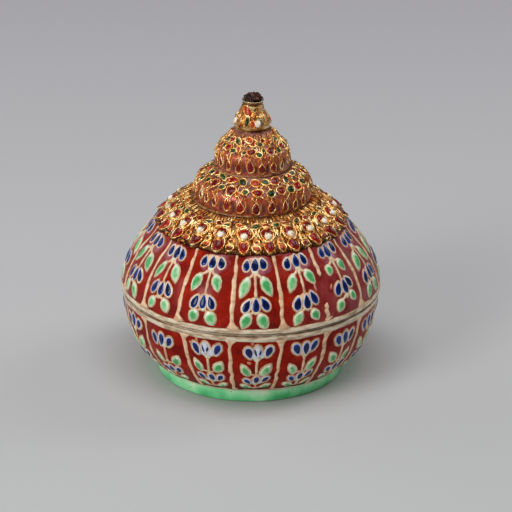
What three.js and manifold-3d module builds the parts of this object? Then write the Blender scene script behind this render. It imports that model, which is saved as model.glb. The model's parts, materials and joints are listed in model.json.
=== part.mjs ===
// Round porcelain jar with a lift-off lid. The lid carries a finial of three enamelled gold
// tiers and a knob, drawn down on the porcelain by one long stud with a washer and nut inside.
// Millimetres, +Z up, origin at the centre of the foot ring's base, front towards -Y.

import * as THREE from "three";
import { mergeVertices } from "three/addons/utils/BufferGeometryUtils.js";
import Module from "manifold-3d";

const wasm = await Module();
wasm.setup();

const degrees = Math.PI / 180;

// Clearances between pieces
const seatGap = 0.3; // between a piece and the face that carries it
const studClearance = 0.3; // around the stud in every hole it passes
const lipClearance = 0.5; // between the bowl's lip and the inside of the lid
const cutOverrun = 2; // how far a cutting solid runs past the faces it cuts

// Bowl
const footRadius = 31.5;
const footFlare = 0.6; // how much wider the foot ring is at its top than on the ground
const footHeight = 5.2;
const footRingWidth = 3.6;
const footEdgeRound = 0.5;
const recessDepth = 3.6; // under the floor, inside the foot ring
const springRadius = 33.2; // where the bowl's side leaves the foot ring
const rimRadius = 43.1;
const seamHeight = 29.5;
const bowlWall = 3;
const floorThickness = 3.6;
const rimEdgeRound = 0.5;
const lipHeight = 3.4; // the upright lip that keeps the lid from sliding off
const lipThickness = 1.8;

// Lid
const lidOverhang = 0.35; // the lid's rim stands out past the bowl's
const lidHeight = 30;
const lidWall = 2.6;

// Panels round the bowl and the lid, each a little convex between two shallow grooves
const panelCount = 16;
const panelTurn = 3.2 * degrees; // the front panel's middle lies this far to the right
const grooveDepth = 0.55;
const stepsPerPanel = 3;

// Stud, washer and nut
const studRadius = 1.6;
const studEngagement = 5.5; // length held in the knob
const studTail = 1.4; // length left below the nut
const washerRadius = 6;
const washerThickness = 1;
const nutWidth = 6.4;
const nutThickness = 2.4;

// Skirt, the lowest tier, which follows the dome of the lid under a ring of petals
const skirtRadius = 31.2;
const skirtEdge = 0.9; // height of its round edge above the porcelain
const skirtRise = 3.2; // its greatest height above the porcelain
const skirtShelfWidth = 1.6; // plain ring outside the middle tier
const skirtPetalCount = 22; // large petals, with a small one between every two
const skirtTurn = -4.6 * degrees;
const petalDepth = 0.8; // of the furrow between two petals
const budSetback = 0.7; // how far the small petals lie behind the large ones

// Stones in raised collets, one on each large petal
const stoneRadius = 1.35;
const stoneHeight = 1.3;
const stoneGirdle = 0.8; // height of the straight side under the dome of a stone
const stoneInset = 4; // from the skirt's edge in to the middle of the stones
const colletWall = 0.55;
const colletHeight = 1.2;
const colletFloor = 0.3;

// Middle and upper tiers, thin shells with a flat top, furrowed between their petals
const sheetThickness = 0.9;
const middleRadius = 19.8;
const middleHeight = 10.8;
const middlePetalCount = 26;
const middleTurn = 2.4 * degrees;
const upperRadius = 12.7;
const upperHeight = 12.8;
const upperPetalCount = 20;
const upperTurn = -4.8 * degrees;
const tierFurrowDepth = 0.6;

// Low bosses worked on the skirt and on the middle tier, where their enamelled cells stand
const bossHeight = 0.45;

// Knob with four small stones, and the empty setting on its top
const knobRadius = 6.5;
const knobHeight = 7.8;
const knobLobeCount = 8;
const knobLobeDepth = 0.3;
const knobTurn = 18 * degrees;
const knobStoneCount = 4;
const knobStoneRadius = 1;
const knobStoneHeight = 1.2;
const knobStoneGirdle = 0.7;
const knobSeatDepth = 0.7;
const collarRadius = 3.6;
const collarWall = 0.7;
const collarHeight = 1.3;
const bedHeight = 2.2; // of the broken lump that stands above the collar
const bedRoughness = 0.5;

// Outlines as shares, chosen by hand: the share of the way in radius, the share of the way in
// height, and the share of the furrow's depth that is cut at that point
const bowlOutlineShares = [
  [0, 0, 0],
  [0.33, 0.14, 0.8],
  [0.56, 0.27, 1],
  [0.765, 0.44, 1],
  [0.88, 0.61, 1],
  [0.945, 0.79, 0.8],
  [1, 1, 0],
];
const lidOutlineShares = [
  [1, 0, 0],
  [0.99, 0.12, 0.5],
  [0.955, 0.29, 1],
  [0.89, 0.46, 1],
  [0.79, 0.64, 1],
  [0.66, 0.81, 0],
  [0.52, 0.91, 0],
  [0.34, 0.97, 0],
  [0.18, 0.995, 0],
  [0, 1, 0],
];
const skirtRiseShares = [
  [0, 1, 0],
  [0.66, 1, 0],
  [0.74, 0.95, 0.4],
  [0.85, 0.6, 0.8],
  [0.93, 0.3, 1],
  [1, 0, 1],
];
const middleOutlineShares = [
  [1, 0, 0],
  [1.02, 0.16, 0.8],
  [1.01, 0.34, 0.6],
  [0.97, 0.52, 0],
  [0.93, 0.66, 0.9],
  [0.84, 0.76, 0.2],
  [0.76, 0.86, 0.9],
  [0.66, 0.98, 0],
];
const upperOutlineShares = [
  [1, 0, 0],
  [1.01, 0.14, 0.8],
  [1, 0.3, 0.6],
  [0.97, 0.44, 0],
  [0.9, 0.56, 0.9],
  [0.78, 0.66, 0.2],
  [0.67, 0.79, 0.9],
  [0.49, 0.97, 0],
];
const knobOutlineShares = [
  [0.88, 0, 0],
  [0.98, 0.1, 1],
  [1, 0.2, 1],
  [0.94, 0.34, 1],
  [0.83, 0.5, 0.8],
  [0.68, 0.68, 0.5],
  [0.55, 0.88, 0],
  [0.54, 1, 0],
];
const knobStoneHeightShare = 0.3; // of the knob's height, at the middle of a stone
const bedOutlineShares = [
  [1, 0, 0],
  [1, 0.25, 0.6],
  [0.62, 0.7, 1],
  [0, 1, 0],
];

// Rows of oval bosses: the angles in degrees that show at the front, the number all round, and as
// shares of the tier's line its middle and half its length. Then come half its width in degrees
// and its share of the bosses' height.
const skirtBossRows = [
  { atStones: true, middle: 0.22, halfLength: 0.16, halfWidth: 2.9, height: 1 },
  { atStones: true, middle: 0.52, halfLength: 0.17, halfWidth: 4.9, height: 1 },
  { atStones: false, middle: 0.14, halfLength: 0.09, halfWidth: 2.2, height: 0.8 },
  { atStones: false, middle: 0.31, halfLength: 0.08, halfWidth: 1.8, height: 0.8 },
  { atStones: true, middle: 0.81, halfLength: 0.09, halfWidth: 3, height: 0.8 },
  { atStones: false, middle: 0.81, halfLength: 0.09, halfWidth: 3, height: 0.8 },
];
const middleBossRows = [
  {
    seen: [-50.5, -39.8, -26.2, -11.7, 3.2, 18.2, 33, 46, 58.5],
    count: 26,
    middle: 0.21,
    halfLength: 0.14,
    halfWidth: 3.3,
    height: 0.7,
  },
  {
    seen: [-65, -49.9, -36.6, -23.6, -8.2, 5.6, 19.5, 31.3, 43.6, 56, 68],
    count: 26,
    middle: 0.575,
    halfLength: 0.1,
    halfWidth: 5.2,
    height: 1,
  },
  {
    seen: [-61, -46, -30.5, -13.3, 2.9, 16.2, 30.2, 47, 61.5],
    count: 24,
    middle: 0.86,
    halfLength: 0.085,
    halfWidth: 5.8,
    height: 1,
  },
];

// A point of a profile: distance from the axis, height, and the furrow's share there
function point(radius, height, furrow = 0) {
  return new THREE.Vector3(radius, height, furrow);
}

// A smooth line through the points of a list of shares, placed between named sizes
function outline(shares, divisions, place) {
  const curve = new THREE.CatmullRomCurve3(shares.map((share) => point(...share)));
  return curve.getPoints(divisions).map((share) => place(share.x, share.y, share.z));
}

// The line moved sideways by a distance, to the left of its direction
function besideLine(line, distance) {
  return line.map((here, i) => {
    const before = line[Math.max(i - 1, 0)];
    const after = line[Math.min(i + 1, line.length - 1)];
    const along = Math.atan2(after.y - before.y, after.x - before.x);
    return point(here.x - distance * Math.sin(along), here.y + distance * Math.cos(along));
  });
}

// One coordinate of a line where the other one has a given value, read between its points
function readLine(line, known, value, wanted) {
  const i = line.findIndex((here, at) => {
    const before = line[Math.max(at - 1, 0)];
    return here[known] !== before[known] && (here[known] - value) * (before[known] - value) <= 0;
  });
  if (i < 0) {
    const away = (end) => Math.abs(end[known] - value);
    const [first, last] = [line[0], line[line.length - 1]];
    return away(first) < away(last) ? first[wanted] : last[wanted];
  }
  const [a, b] = [line[i - 1], line[i]];
  const share = (value - a[known]) / (b[known] - a[known]);
  return a[wanted] + share * (b[wanted] - a[wanted]);
}

const heightAt = (line, radius) => readLine(line, "x", radius, "y");
const radiusAt = (line, height) => readLine(line, "y", height, "x");

// The distance of each point of a line from its start, along the line
function reaches(line) {
  let reach = 0;
  return line.map((here, i) => {
    const before = line[Math.max(i - 1, 0)];
    reach += Math.hypot(here.x - before.x, here.y - before.y);
    return reach;
  });
}

// A solid of revolution about Z. A point of its profile is drawn in towards the axis by its
// furrow's share of the depth that drawIn gives for an angle, counted from the front, and is
// raised square to the profile by what raise gives for that angle and its distance along
function turned(profile, segments, drawIn = () => 0, raise = () => 0) {
  const geometry = new THREE.LatheGeometry(profile, segments);
  const position = geometry.attributes.position;
  const distances = reaches(profile);
  for (let i = 0; i < position.count; i++) {
    const radius = Math.hypot(position.getX(i), position.getZ(i));
    if (radius === 0) continue;
    const at = i % profile.length;
    const before = profile[Math.max(at - 1, 0)];
    const after = profile[Math.min(at + 1, profile.length - 1)];
    const along = Math.atan2(after.y - before.y, after.x - before.x);
    const angle = Math.atan2(position.getX(i), position.getZ(i));
    const lift = raise(angle, distances[at]);
    const scale = 1 + (lift * Math.sin(along) - profile[at].z * drawIn(angle)) / radius;
    position.setX(i, position.getX(i) * scale);
    position.setY(i, position.getY(i) - lift * Math.cos(along));
    position.setZ(i, position.getZ(i) * scale);
  }
  return geometry.rotateX(Math.PI / 2);
}

// Nothing on the crest of each of count lobes, the full depth in the furrows between them
const lobes = (count, depth) => (angle) => depth * (1 - Math.abs(Math.cos((count * angle) / 2)));

// The same for the porcelain, with a furrow and not a crest at the front
const panels = (angle) => grooveDepth * (1 - Math.abs(Math.sin((panelCount * angle) / 2)));
const halfPanel = Math.PI / panelCount;

// Angles all round: those that show at the front, and the others evenly spaced behind
function around(seen, count) {
  const gap = 360 - (seen[seen.length - 1] - seen[0]);
  const hidden = count - seen.length;
  const behind = Array.from(
    { length: hidden },
    (_, i) => seen[seen.length - 1] + (gap * (i + 1)) / (hidden + 1),
  );
  return [...seen, ...behind].map((angle) => angle * degrees);
}

// How high the bosses stand on a surface whose line has a given length, before it is turned
function bosses(rows, length, turn) {
  return (angle, distance) => {
    const lifts = rows.map((row) => {
      const along = (distance / length - row.middle) / row.halfLength;
      if (Math.abs(along) >= 1) return 0;
      const aways = row.angles.map((place) => {
        const away = angle + turn - place;
        return Math.abs(Math.atan2(Math.sin(away), Math.cos(away)));
      });
      const across = Math.min(...aways) / (row.halfWidth * degrees);
      const out = along ** 2 + across ** 2;
      return bossHeight * row.height * Math.max(0, 1 - out ** 2);
    });
    return Math.max(...lifts);
  };
}

// three.js geometry to a manifold-3d solid and back
function toSolid(geometry) {
  const bare = geometry.clone();
  bare.deleteAttribute("normal");
  bare.deleteAttribute("uv");
  const merged = mergeVertices(bare);
  const corners = [];
  const index = merged.index.array;
  for (let i = 0; i < index.length; i += 3) {
    const [a, b, c] = index.subarray(i, i + 3);
    if (a !== b && b !== c && a !== c) corners.push(a, b, c);
  }
  const mesh = new wasm.Mesh({
    numProp: 3,
    vertProperties: merged.attributes.position.array,
    triVerts: new Uint32Array(corners),
  });
  return new wasm.Manifold(mesh);
}

function toGeometry(solid) {
  const mesh = solid.getMesh();
  const geometry = new THREE.BufferGeometry();
  const places = new Float32Array(mesh.vertProperties);
  geometry.setAttribute("position", new THREE.BufferAttribute(places, 3));
  geometry.setIndex(new THREE.BufferAttribute(new Uint32Array(mesh.triVerts), 1));
  geometry.computeVertexNormals();
  return geometry;
}

const joined = (solid, others) => others.reduce((whole, other) => whole.add(other), solid);
const cutBy = (solid, others) => others.reduce((whole, other) => whole.subtract(other), solid);

// The placing of a piece on a turned surface: at an angle from the front, on the surface's
// line, with its own +Z along the surface's normal, lifted along that normal
function standingOn(line, radius, height, angle, lift) {
  const away = (p) => Math.hypot(p.x - radius, p.y - height);
  const nearest = line.reduce((best, p, i) => (away(p) < away(line[best]) ? i : best), 0);
  const before = line[Math.max(nearest - 1, 0)];
  const after = line[Math.min(nearest + 1, line.length - 1)];
  const along = Math.atan2(after.y - before.y, after.x - before.x);
  const holder = new THREE.Object3D();
  holder.position.set(radius + lift * Math.sin(along), 0, height - lift * Math.cos(along));
  holder.rotation.y = Math.PI - along;
  const turn = new THREE.Group();
  turn.rotation.z = angle - Math.PI / 2;
  turn.add(holder);
  turn.updateMatrixWorld(true);
  return holder.matrixWorld;
}

// Equally spaced angles from the front, the first one at a given turn
const ring = (count, turn) => Array.from({ length: count }, (_, i) => turn + (i / count) * 2 * Math.PI);

// A round bar along Z between two heights
function bar(radius, bottom, top, sides) {
  const cylinder = new THREE.CylinderGeometry(radius, radius, top - bottom, sides);
  return cylinder.rotateX(Math.PI / 2).translate(0, 0, (bottom + top) / 2);
}

// Lines and sizes that several pieces share
const lidRimRadius = rimRadius + lidOverhang;
const lidBase = seamHeight + seatGap;
const lidLine = outline(lidOutlineShares, 24, (across, up, furrow) =>
  point(across * lidRimRadius, lidBase + up * lidHeight, furrow),
);
const domeTop = lidBase + lidHeight;
const lipTop = seamHeight + lipHeight;
const lidInnerRadius = radiusAt(lidLine, lipTop) - lidWall;
const lipOuterRadius = lidInnerRadius - lipClearance;
const lipInnerRadius = lipOuterRadius - lipThickness;
const holeRadius = studRadius + studClearance;

function bowl() {
  const floorTop = recessDepth + floorThickness;
  const side = outline(bowlOutlineShares, 9, (across, up, furrow) =>
    point(
      springRadius + across * (rimRadius - springRadius),
      footHeight + up * (seamHeight - rimEdgeRound - footHeight),
      furrow,
    ),
  );
  const footInnerRadius = footRadius - footRingWidth;
  const inside = besideLine(side, bowlWall)
    .filter((p) => p.y > floorTop && p.y < seamHeight && p.x < lipInnerRadius)
    .reverse();
  const profile = [
    point(0, recessDepth),
    point(footInnerRadius, recessDepth),
    point(footInnerRadius, footEdgeRound),
    point(footInnerRadius + footEdgeRound, 0),
    point(footRadius - footEdgeRound, 0),
    point(footRadius, footEdgeRound),
    point(footRadius + footFlare, footHeight - footEdgeRound),
    ...side,
    point(rimRadius - rimEdgeRound, seamHeight),
    point(lipOuterRadius, seamHeight),
    point(lipOuterRadius, lipTop),
    point(lipInnerRadius, lipTop),
    point(lipInnerRadius, seamHeight - rimEdgeRound),
    ...inside,
    point(inside[inside.length - 1].x - bowlWall, floorTop),
    point(0, floorTop),
  ];
  return turned(profile, panelCount * stepsPerPanel, panels).rotateZ(panelTurn + halfPanel);
}

function lid() {
  const outer = lidLine.filter((p, i) => i % 2 === 0 && p.y > lidBase && p.x > holeRadius);
  const inner = besideLine(lidLine, lidWall)
    .filter((p, i) => i % 4 === 0 && p.y > lipTop + lipClearance && p.x > washerRadius)
    .reverse();
  const profile = [
    point(lidInnerRadius, lidBase),
    point(lidRimRadius - rimEdgeRound, lidBase),
    ...outer,
    point(holeRadius, domeTop),
    point(holeRadius, domeTop - lidWall),
    point(washerRadius + studClearance, domeTop - lidWall),
    ...inner,
    point(lidInnerRadius, lipTop),
    point(lidInnerRadius, lidBase),
  ];
  return turned(profile, panelCount * stepsPerPanel, panels).rotateZ(panelTurn + halfPanel);
}

// The skirt's upper line is the dome's line raised by the skirt's own height at each radius
const skirtUnder = lidLine
  .filter((p) => p.x > holeRadius && p.x < skirtRadius)
  .concat(point(skirtRadius, heightAt(lidLine, skirtRadius)), point(holeRadius, domeTop))
  .sort((a, b) => b.x - a.x)
  .map((p) => point(p.x, p.y + seatGap));
const skirtHeights = outline(skirtRiseShares, 24, (across, up, furrow) =>
  point(across * skirtRadius, skirtEdge + up * (skirtRise - skirtEdge), furrow),
);
const skirtTop = skirtUnder.map((p) =>
  point(p.x, p.y + heightAt(skirtHeights, p.x), readLine(skirtHeights, "x", p.x, "z")),
);
const shelfRadius = middleRadius + skirtShelfWidth;
const shelfTop = heightAt(skirtTop, shelfRadius);
const stoneRing = skirtRadius - stoneInset;
const stonePlace = (angle, lift) =>
  standingOn(skirtTop, stoneRing, heightAt(skirtTop, stoneRing), angle, lift);

function skirt() {
  const slopeSteps = 12;
  const slope = Array.from({ length: slopeSteps + 1 }, (_, i) => {
    const radius = skirtRadius - (i / slopeSteps) * (skirtRadius - shelfRadius);
    return point(radius, heightAt(skirtTop, radius), readLine(skirtTop, "x", radius, "z"));
  });
  const profile = [
    ...slope,
    point(holeRadius, shelfTop),
    ...skirtUnder.slice(1).filter((p, i, all) => i % 2 === 1 || i === all.length - 1).reverse(),
    skirtUnder[0],
    slope[0],
  ];
  const furrows = lobes(2 * skirtPetalCount, petalDepth);
  const setback = (angle) => (budSetback * (1 - Math.cos(skirtPetalCount * angle))) / 2;
  const drawIn = (angle) => furrows(angle) + setback(angle);
  const angles = ring(skirtPetalCount, skirtTurn);
  const halfPitch = Math.PI / skirtPetalCount;
  const rows = skirtBossRows.map((row) => ({
    ...row,
    angles: row.atStones ? angles : angles.map((angle) => angle + halfPitch),
  }));
  const raise = bosses(rows, reaches(slope)[slopeSteps], skirtTurn);
  const base = turned(profile, 8 * skirtPetalCount, drawIn, raise).rotateZ(skirtTurn);
  const seatRadius = stoneRadius + seatGap;
  const collets = angles.map((angle) => {
    const tube = bar(seatRadius + colletWall, -colletHeight, colletHeight, 8);
    return toSolid(tube.applyMatrix4(stonePlace(angle, 0)));
  });
  const seats = angles.map((angle) => {
    const cup = bar(seatRadius, colletFloor, colletHeight + cutOverrun, 8);
    return toSolid(cup.applyMatrix4(stonePlace(angle, 0)));
  });
  return toGeometry(cutBy(joined(toSolid(base), collets), seats));
}

// A domed stone with a straight girdle
function stone(radius, girdle, height) {
  const profile = [point(0, 0), point(radius, 0), point(radius, girdle), point(0, height)];
  return turned(profile, 8);
}

// A tier: a thin shell, open below, whose flat top carries the next piece
function tier(line, topHeight, petalCount, turn, stepsPerPetal = 2, bossRows = []) {
  const top = line[line.length - 1];
  const ceiling = topHeight - sheetThickness;
  const furrowed = tierFurrowDepth + sheetThickness;
  const spacing = Math.ceil(line.length / 6);
  const inside = besideLine(line, furrowed).filter(
    (p, i) => i % spacing === 0 && p.y < ceiling && p.y > line[0].y,
  );
  const profile = [
    ...line,
    point(top.x, topHeight),
    point(holeRadius, topHeight),
    point(holeRadius, ceiling),
    point(inside[inside.length - 1].x, ceiling),
    ...inside.reverse(),
    point(line[0].x - furrowed, line[0].y),
    line[0],
  ];
  const rows = bossRows.map((row) => ({ ...row, angles: around(row.seen, row.count) }));
  const raise = rows.length ? bosses(rows, reaches(line)[line.length - 1], turn) : undefined;
  const furrows = lobes(petalCount, tierFurrowDepth);
  return turned(profile, stepsPerPetal * petalCount, furrows, raise).rotateZ(turn);
}

const tierLine = (shares, radius, height, base, divisions = 10) =>
  outline(shares, divisions, (across, up, furrow) =>
    point(across * radius, base + up * height, furrow),
  );
const middleBase = shelfTop + seatGap;
const middleTop = middleBase + middleHeight;
const upperBase = middleTop + seatGap;
const upperTop = upperBase + upperHeight;
const knobBase = upperTop + seatGap;
const knobTop = knobBase + knobHeight;
const collarBase = knobTop + seatGap;
const collarTop = collarBase + collarHeight;

function middleTier() {
  const line = tierLine(middleOutlineShares, middleRadius, middleHeight, middleBase, 14);
  return tier(line, middleTop, middlePetalCount, middleTurn, 5, middleBossRows);
}

function upperTier() {
  const line = tierLine(upperOutlineShares, upperRadius, upperHeight, upperBase);
  return tier(line, upperTop, upperPetalCount, upperTurn);
}

const knobLine = outline(knobOutlineShares, 9, (across, up, furrow) =>
  point(across * knobRadius, knobBase + up * knobHeight, furrow),
);
const knobStoneLevel = knobBase + knobStoneHeightShare * knobHeight;
const knobStonePlace = (angle, lift) =>
  standingOn(knobLine, radiusAt(knobLine, knobStoneLevel), knobStoneLevel, angle, lift);

function knob() {
  const boreTop = knobBase + studEngagement + seatGap;
  const profile = [
    point(0, boreTop),
    point(holeRadius, boreTop),
    point(holeRadius, knobBase),
    ...knobLine,
    point(0, knobTop),
  ];
  const body = turned(profile, 3 * knobLobeCount, lobes(knobLobeCount, knobLobeDepth));
  const seats = ring(knobStoneCount, knobTurn).map((angle) => {
    const cup = bar(knobStoneRadius + seatGap, -knobSeatDepth, cutOverrun, 8);
    return toSolid(cup.applyMatrix4(knobStonePlace(angle, 0)));
  });
  return toGeometry(cutBy(toSolid(body.rotateZ(knobTurn)), seats));
}

function collar() {
  const innerRadius = collarRadius - collarWall;
  const profile = [
    point(innerRadius, collarBase),
    point(collarRadius - collarWall / 2, collarBase),
    point(collarRadius, collarBase + collarHeight / 2),
    point(collarRadius, collarTop),
    point(innerRadius, collarTop),
    point(innerRadius, collarBase),
  ];
  return turned(profile, 24);
}

// The rough lump of setting compound left where the top stone has been lost
function bed() {
  const lumpBase = collarTop + seatGap;
  const stemRadius = collarRadius - collarWall - seatGap;
  const lump = bedOutlineShares.map(([across, up, furrow]) =>
    point(across * collarRadius, lumpBase + up * bedHeight, furrow),
  );
  const stem = [point(0, collarBase), point(stemRadius, collarBase), point(stemRadius, lumpBase)];
  const rough = (angle) => (bedRoughness * (1 + Math.sin(3 * angle + 1))) / 2;
  return turned([...stem, ...lump], 12, rough);
}

const washerTop = domeTop - lidWall - seatGap;
const nutTop = washerTop - washerThickness - seatGap;
const studBottom = nutTop - nutThickness - studTail;

function stud() {
  return bar(studRadius, studBottom, knobBase + studEngagement, 16);
}

// A flat plate with the stud's hole through it
function pierced(shape, thickness, top) {
  shape.holes.push(new THREE.Path().absarc(0, 0, holeRadius, 0, 2 * Math.PI));
  const plate = new THREE.ExtrudeGeometry(shape, {
    depth: thickness,
    bevelEnabled: false,
    curveSegments: 8,
  });
  return plate.translate(0, 0, top - thickness);
}

function washer() {
  const disc = new THREE.Shape().absarc(0, 0, washerRadius, 0, 2 * Math.PI);
  return pierced(disc, washerThickness, washerTop);
}

function nut() {
  const half = nutWidth / 2;
  const square = new THREE.Shape([
    new THREE.Vector2(-half, -half),
    new THREE.Vector2(half, -half),
    new THREE.Vector2(half, half),
    new THREE.Vector2(-half, half),
  ]);
  return pierced(square, nutThickness, nutTop);
}

const finish = {
  porcelain: { color: "#8c1c14", roughness: 0.16, metalness: 0 },
  enamelledGold: { color: "#c98a3c", roughness: 0.28, metalness: 0.85 },
  enamelledTier: { color: "#8a4636", roughness: 0.3, metalness: 0.3 },
  gold: { color: "#d9a555", roughness: 0.25, metalness: 1 },
  stone: { color: "#efe9dc", roughness: 0.05, metalness: 0 },
  compound: { color: "#3a2a22", roughness: 0.8, metalness: 0 },
  brass: { color: "#b08a4e", roughness: 0.4, metalness: 1 },
};

const jar = new THREE.Group();

function addPiece(name, geometry, look) {
  const mesh = new THREE.Mesh(geometry, new THREE.MeshStandardMaterial(look));
  mesh.name = name;
  jar.add(mesh);
  return mesh;
}

// One stone in each seat of a ring, numbered from the front
function addStones(name, count, turn, geometry, placeOf) {
  ring(count, turn).forEach((angle, i) => {
    const mesh = addPiece(`${name}_${i + 1}`, geometry(), finish.stone);
    placeOf(angle).decompose(mesh.position, mesh.quaternion, mesh.scale);
  });
}

addPiece("jar_bowl", bowl(), finish.porcelain);
addPiece("lid_dome", lid(), finish.porcelain);
addPiece("mount_skirt", skirt(), finish.enamelledGold);
addPiece("tier_middle", middleTier(), finish.enamelledTier);
addPiece("tier_upper", upperTier(), finish.enamelledTier);
addPiece("knob", knob(), finish.gold);
addPiece("knob_collar", collar(), finish.gold);
addPiece("setting_bed", bed(), finish.compound);
addPiece("finial_stud", stud(), finish.brass);
addPiece("stud_washer", washer(), finish.brass);
addPiece("stud_nut", nut(), finish.brass);
addStones(
  "skirt_stone",
  skirtPetalCount,
  skirtTurn,
  () => stone(stoneRadius, stoneGirdle, stoneHeight),
  (angle) => stonePlace(angle, colletFloor + seatGap),
);
addStones(
  "knob_stone",
  knobStoneCount,
  knobTurn,
  () => stone(knobStoneRadius, knobStoneGirdle, knobStoneHeight),
  (angle) => knobStonePlace(angle, seatGap - knobSeatDepth),
);

export default jar;
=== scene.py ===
# Looks of a round porcelain jar: red ground with raised enamel sprays in panels, a green foot,
# and a lid whose gold finial has three enamelled tiers, a knob and an empty top setting.

import bisect
import json
import math
import random
from collections import namedtuple

import bmesh
import bpy
from mathutils import Matrix, Vector, noise

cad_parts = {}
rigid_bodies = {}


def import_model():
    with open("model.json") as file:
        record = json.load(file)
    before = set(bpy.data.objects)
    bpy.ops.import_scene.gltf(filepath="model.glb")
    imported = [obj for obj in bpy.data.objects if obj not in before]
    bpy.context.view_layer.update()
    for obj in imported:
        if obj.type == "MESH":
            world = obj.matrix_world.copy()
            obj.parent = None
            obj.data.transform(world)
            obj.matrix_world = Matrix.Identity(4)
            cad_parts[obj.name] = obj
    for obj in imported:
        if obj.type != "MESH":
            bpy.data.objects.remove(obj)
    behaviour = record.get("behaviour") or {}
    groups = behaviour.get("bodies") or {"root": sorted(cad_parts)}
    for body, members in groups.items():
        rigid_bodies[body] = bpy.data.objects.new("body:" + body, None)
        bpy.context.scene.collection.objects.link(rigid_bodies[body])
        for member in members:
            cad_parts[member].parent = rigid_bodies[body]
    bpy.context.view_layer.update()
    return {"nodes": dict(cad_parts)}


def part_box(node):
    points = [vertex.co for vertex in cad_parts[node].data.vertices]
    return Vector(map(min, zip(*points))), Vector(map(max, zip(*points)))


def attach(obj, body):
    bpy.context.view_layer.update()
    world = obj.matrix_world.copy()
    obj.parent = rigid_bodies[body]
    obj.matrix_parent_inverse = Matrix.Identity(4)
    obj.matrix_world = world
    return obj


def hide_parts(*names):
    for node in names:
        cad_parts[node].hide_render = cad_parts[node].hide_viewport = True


for leftover in list(bpy.data.objects):
    bpy.data.objects.remove(leftover)
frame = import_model()

MM = 0.001  # one millimetre in the scene's metres


# Sizes in millimetres, the heights read from the frame


def box_mm(node):
    """Lowest and highest corner of a CAD node, in millimetres."""
    low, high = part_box(node)
    return low / MM, high / MM


LID_BASE = box_mm("lid_dome")[0].z
DOME_TOP = box_mm("lid_dome")[1].z
LIP_TOP = box_mm("jar_bowl")[1].z
SKIRT_TOP = box_mm("mount_skirt")[1].z
MIDDLE_LOW, MIDDLE_HIGH = (corner.z for corner in box_mm("tier_middle"))
UPPER_LOW, UPPER_HIGH = (corner.z for corner in box_mm("tier_upper"))
KNOB_LOW, KNOB_HIGH = (corner.z for corner in box_mm("knob"))
COLLAR_LOW, COLLAR_HIGH = (corner.z for corner in box_mm("knob_collar"))
BED_LOW, BED_HIGH = (corner.z for corner in box_mm("setting_bed"))

SEAT_GAP = 0.3
SEAM_HEIGHT = LID_BASE - SEAT_GAP
FOOT_RADIUS = 31.5
FOOT_FLARE = 0.6
FOOT_HEIGHT = 5.2
FOOT_RING_WIDTH = 3.6
RECESS_DEPTH = 3.6
FLOOR_THICKNESS = 3.6
SPRING_RADIUS = 33.2
RIM_RADIUS = 43.1
BOWL_WALL = 3.0
LIP_THICKNESS = 1.8
LIP_CLEARANCE = 0.5
EDGE_ROUND = 0.5
LID_RADIUS = RIM_RADIUS + 0.35
LID_WALL = 2.6
HOLE_RADIUS = 1.9
GROOVE_DEPTH = 0.55
PANEL_COUNT = 16
SKIRT_RADIUS = box_mm("mount_skirt")[1].x
SKIRT_EDGE = 0.9
SKIRT_RISE = 3.2
SKIRT_FURROW = 0.8
BUD_SETBACK = 0.7
SKIRT_OVERHANG = 0.7  # how far its petal tips reach past the sheet
SHELF_RADIUS = 21.4
SHEET = 0.9
MIDDLE_RADIUS = 19.4  # of the tiers' and the knob's bare ground, under the raised gold
UPPER_RADIUS = 12.25
KNOB_RADIUS = 6.15
MIDDLE_ASIDE = 0.6  # how far to the right the middle tier was soldered off the axis
UPPER_ASIDE = 0.3
KNOB_ASIDE = 0.15
COLLAR_ASIDE = 0.3
BED_ASIDE = COLLAR_ASIDE + 0.15
COLLAR_RADIUS = box_mm("knob_collar")[1].x
COLLAR_WALL = 0.7

# Outlines as shares: of the way in radius, of the way in height, and of the furrow's depth
BOWL_SHARES = (
    (0, 0, 0),
    (0.33, 0.14, 0.8),
    (0.56, 0.27, 1),
    (0.765, 0.44, 1),
    (0.88, 0.61, 1),
    (0.945, 0.79, 0.8),
    (1, 1, 0),
)
LID_SHARES = (
    (1, 0, 0),
    (0.99, 0.12, 0.5),
    (0.955, 0.29, 1),
    (0.89, 0.46, 1),
    (0.79, 0.64, 1),
    (0.66, 0.81, 0),
    (0.52, 0.91, 0),
    (0.34, 0.97, 0),
    (0.18, 0.995, 0),
    (0, 1, 0),
)
SKIRT_RISE_SHARES = (
    (0, 1, 0),
    (0.66, 1, 0),
    (0.74, 0.95, 0.4),
    (0.85, 0.6, 0.8),
    (0.93, 0.3, 1),
    (1, 0, 1),
)
MIDDLE_SHARES = (
    (1, 0, 0),
    (1.02, 0.16, 0.8),
    (1.01, 0.34, 0.6),
    (0.97, 0.52, 0),
    (0.93, 0.66, 0.9),
    (0.84, 0.76, 0.2),
    (0.76, 0.86, 0.9),
    (0.66, 0.98, 0),
)
UPPER_SHARES = (
    (1, 0, 0),
    (1.01, 0.14, 0.8),
    (1, 0.3, 0.6),
    (0.97, 0.44, 0),
    (0.9, 0.56, 0.9),
    (0.78, 0.66, 0.2),
    (0.67, 0.79, 0.9),
    (0.49, 0.97, 0),
)
KNOB_SHARES = (
    (0.88, 0, 0),
    (0.98, 0.1, 1),
    (1, 0.2, 1),
    (0.94, 0.34, 1),
    (0.83, 0.5, 0.8),
    (0.68, 0.68, 0.5),
    (0.55, 0.88, 0),
    (0.54, 1, 0),
)


# Lines and turned surfaces


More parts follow.
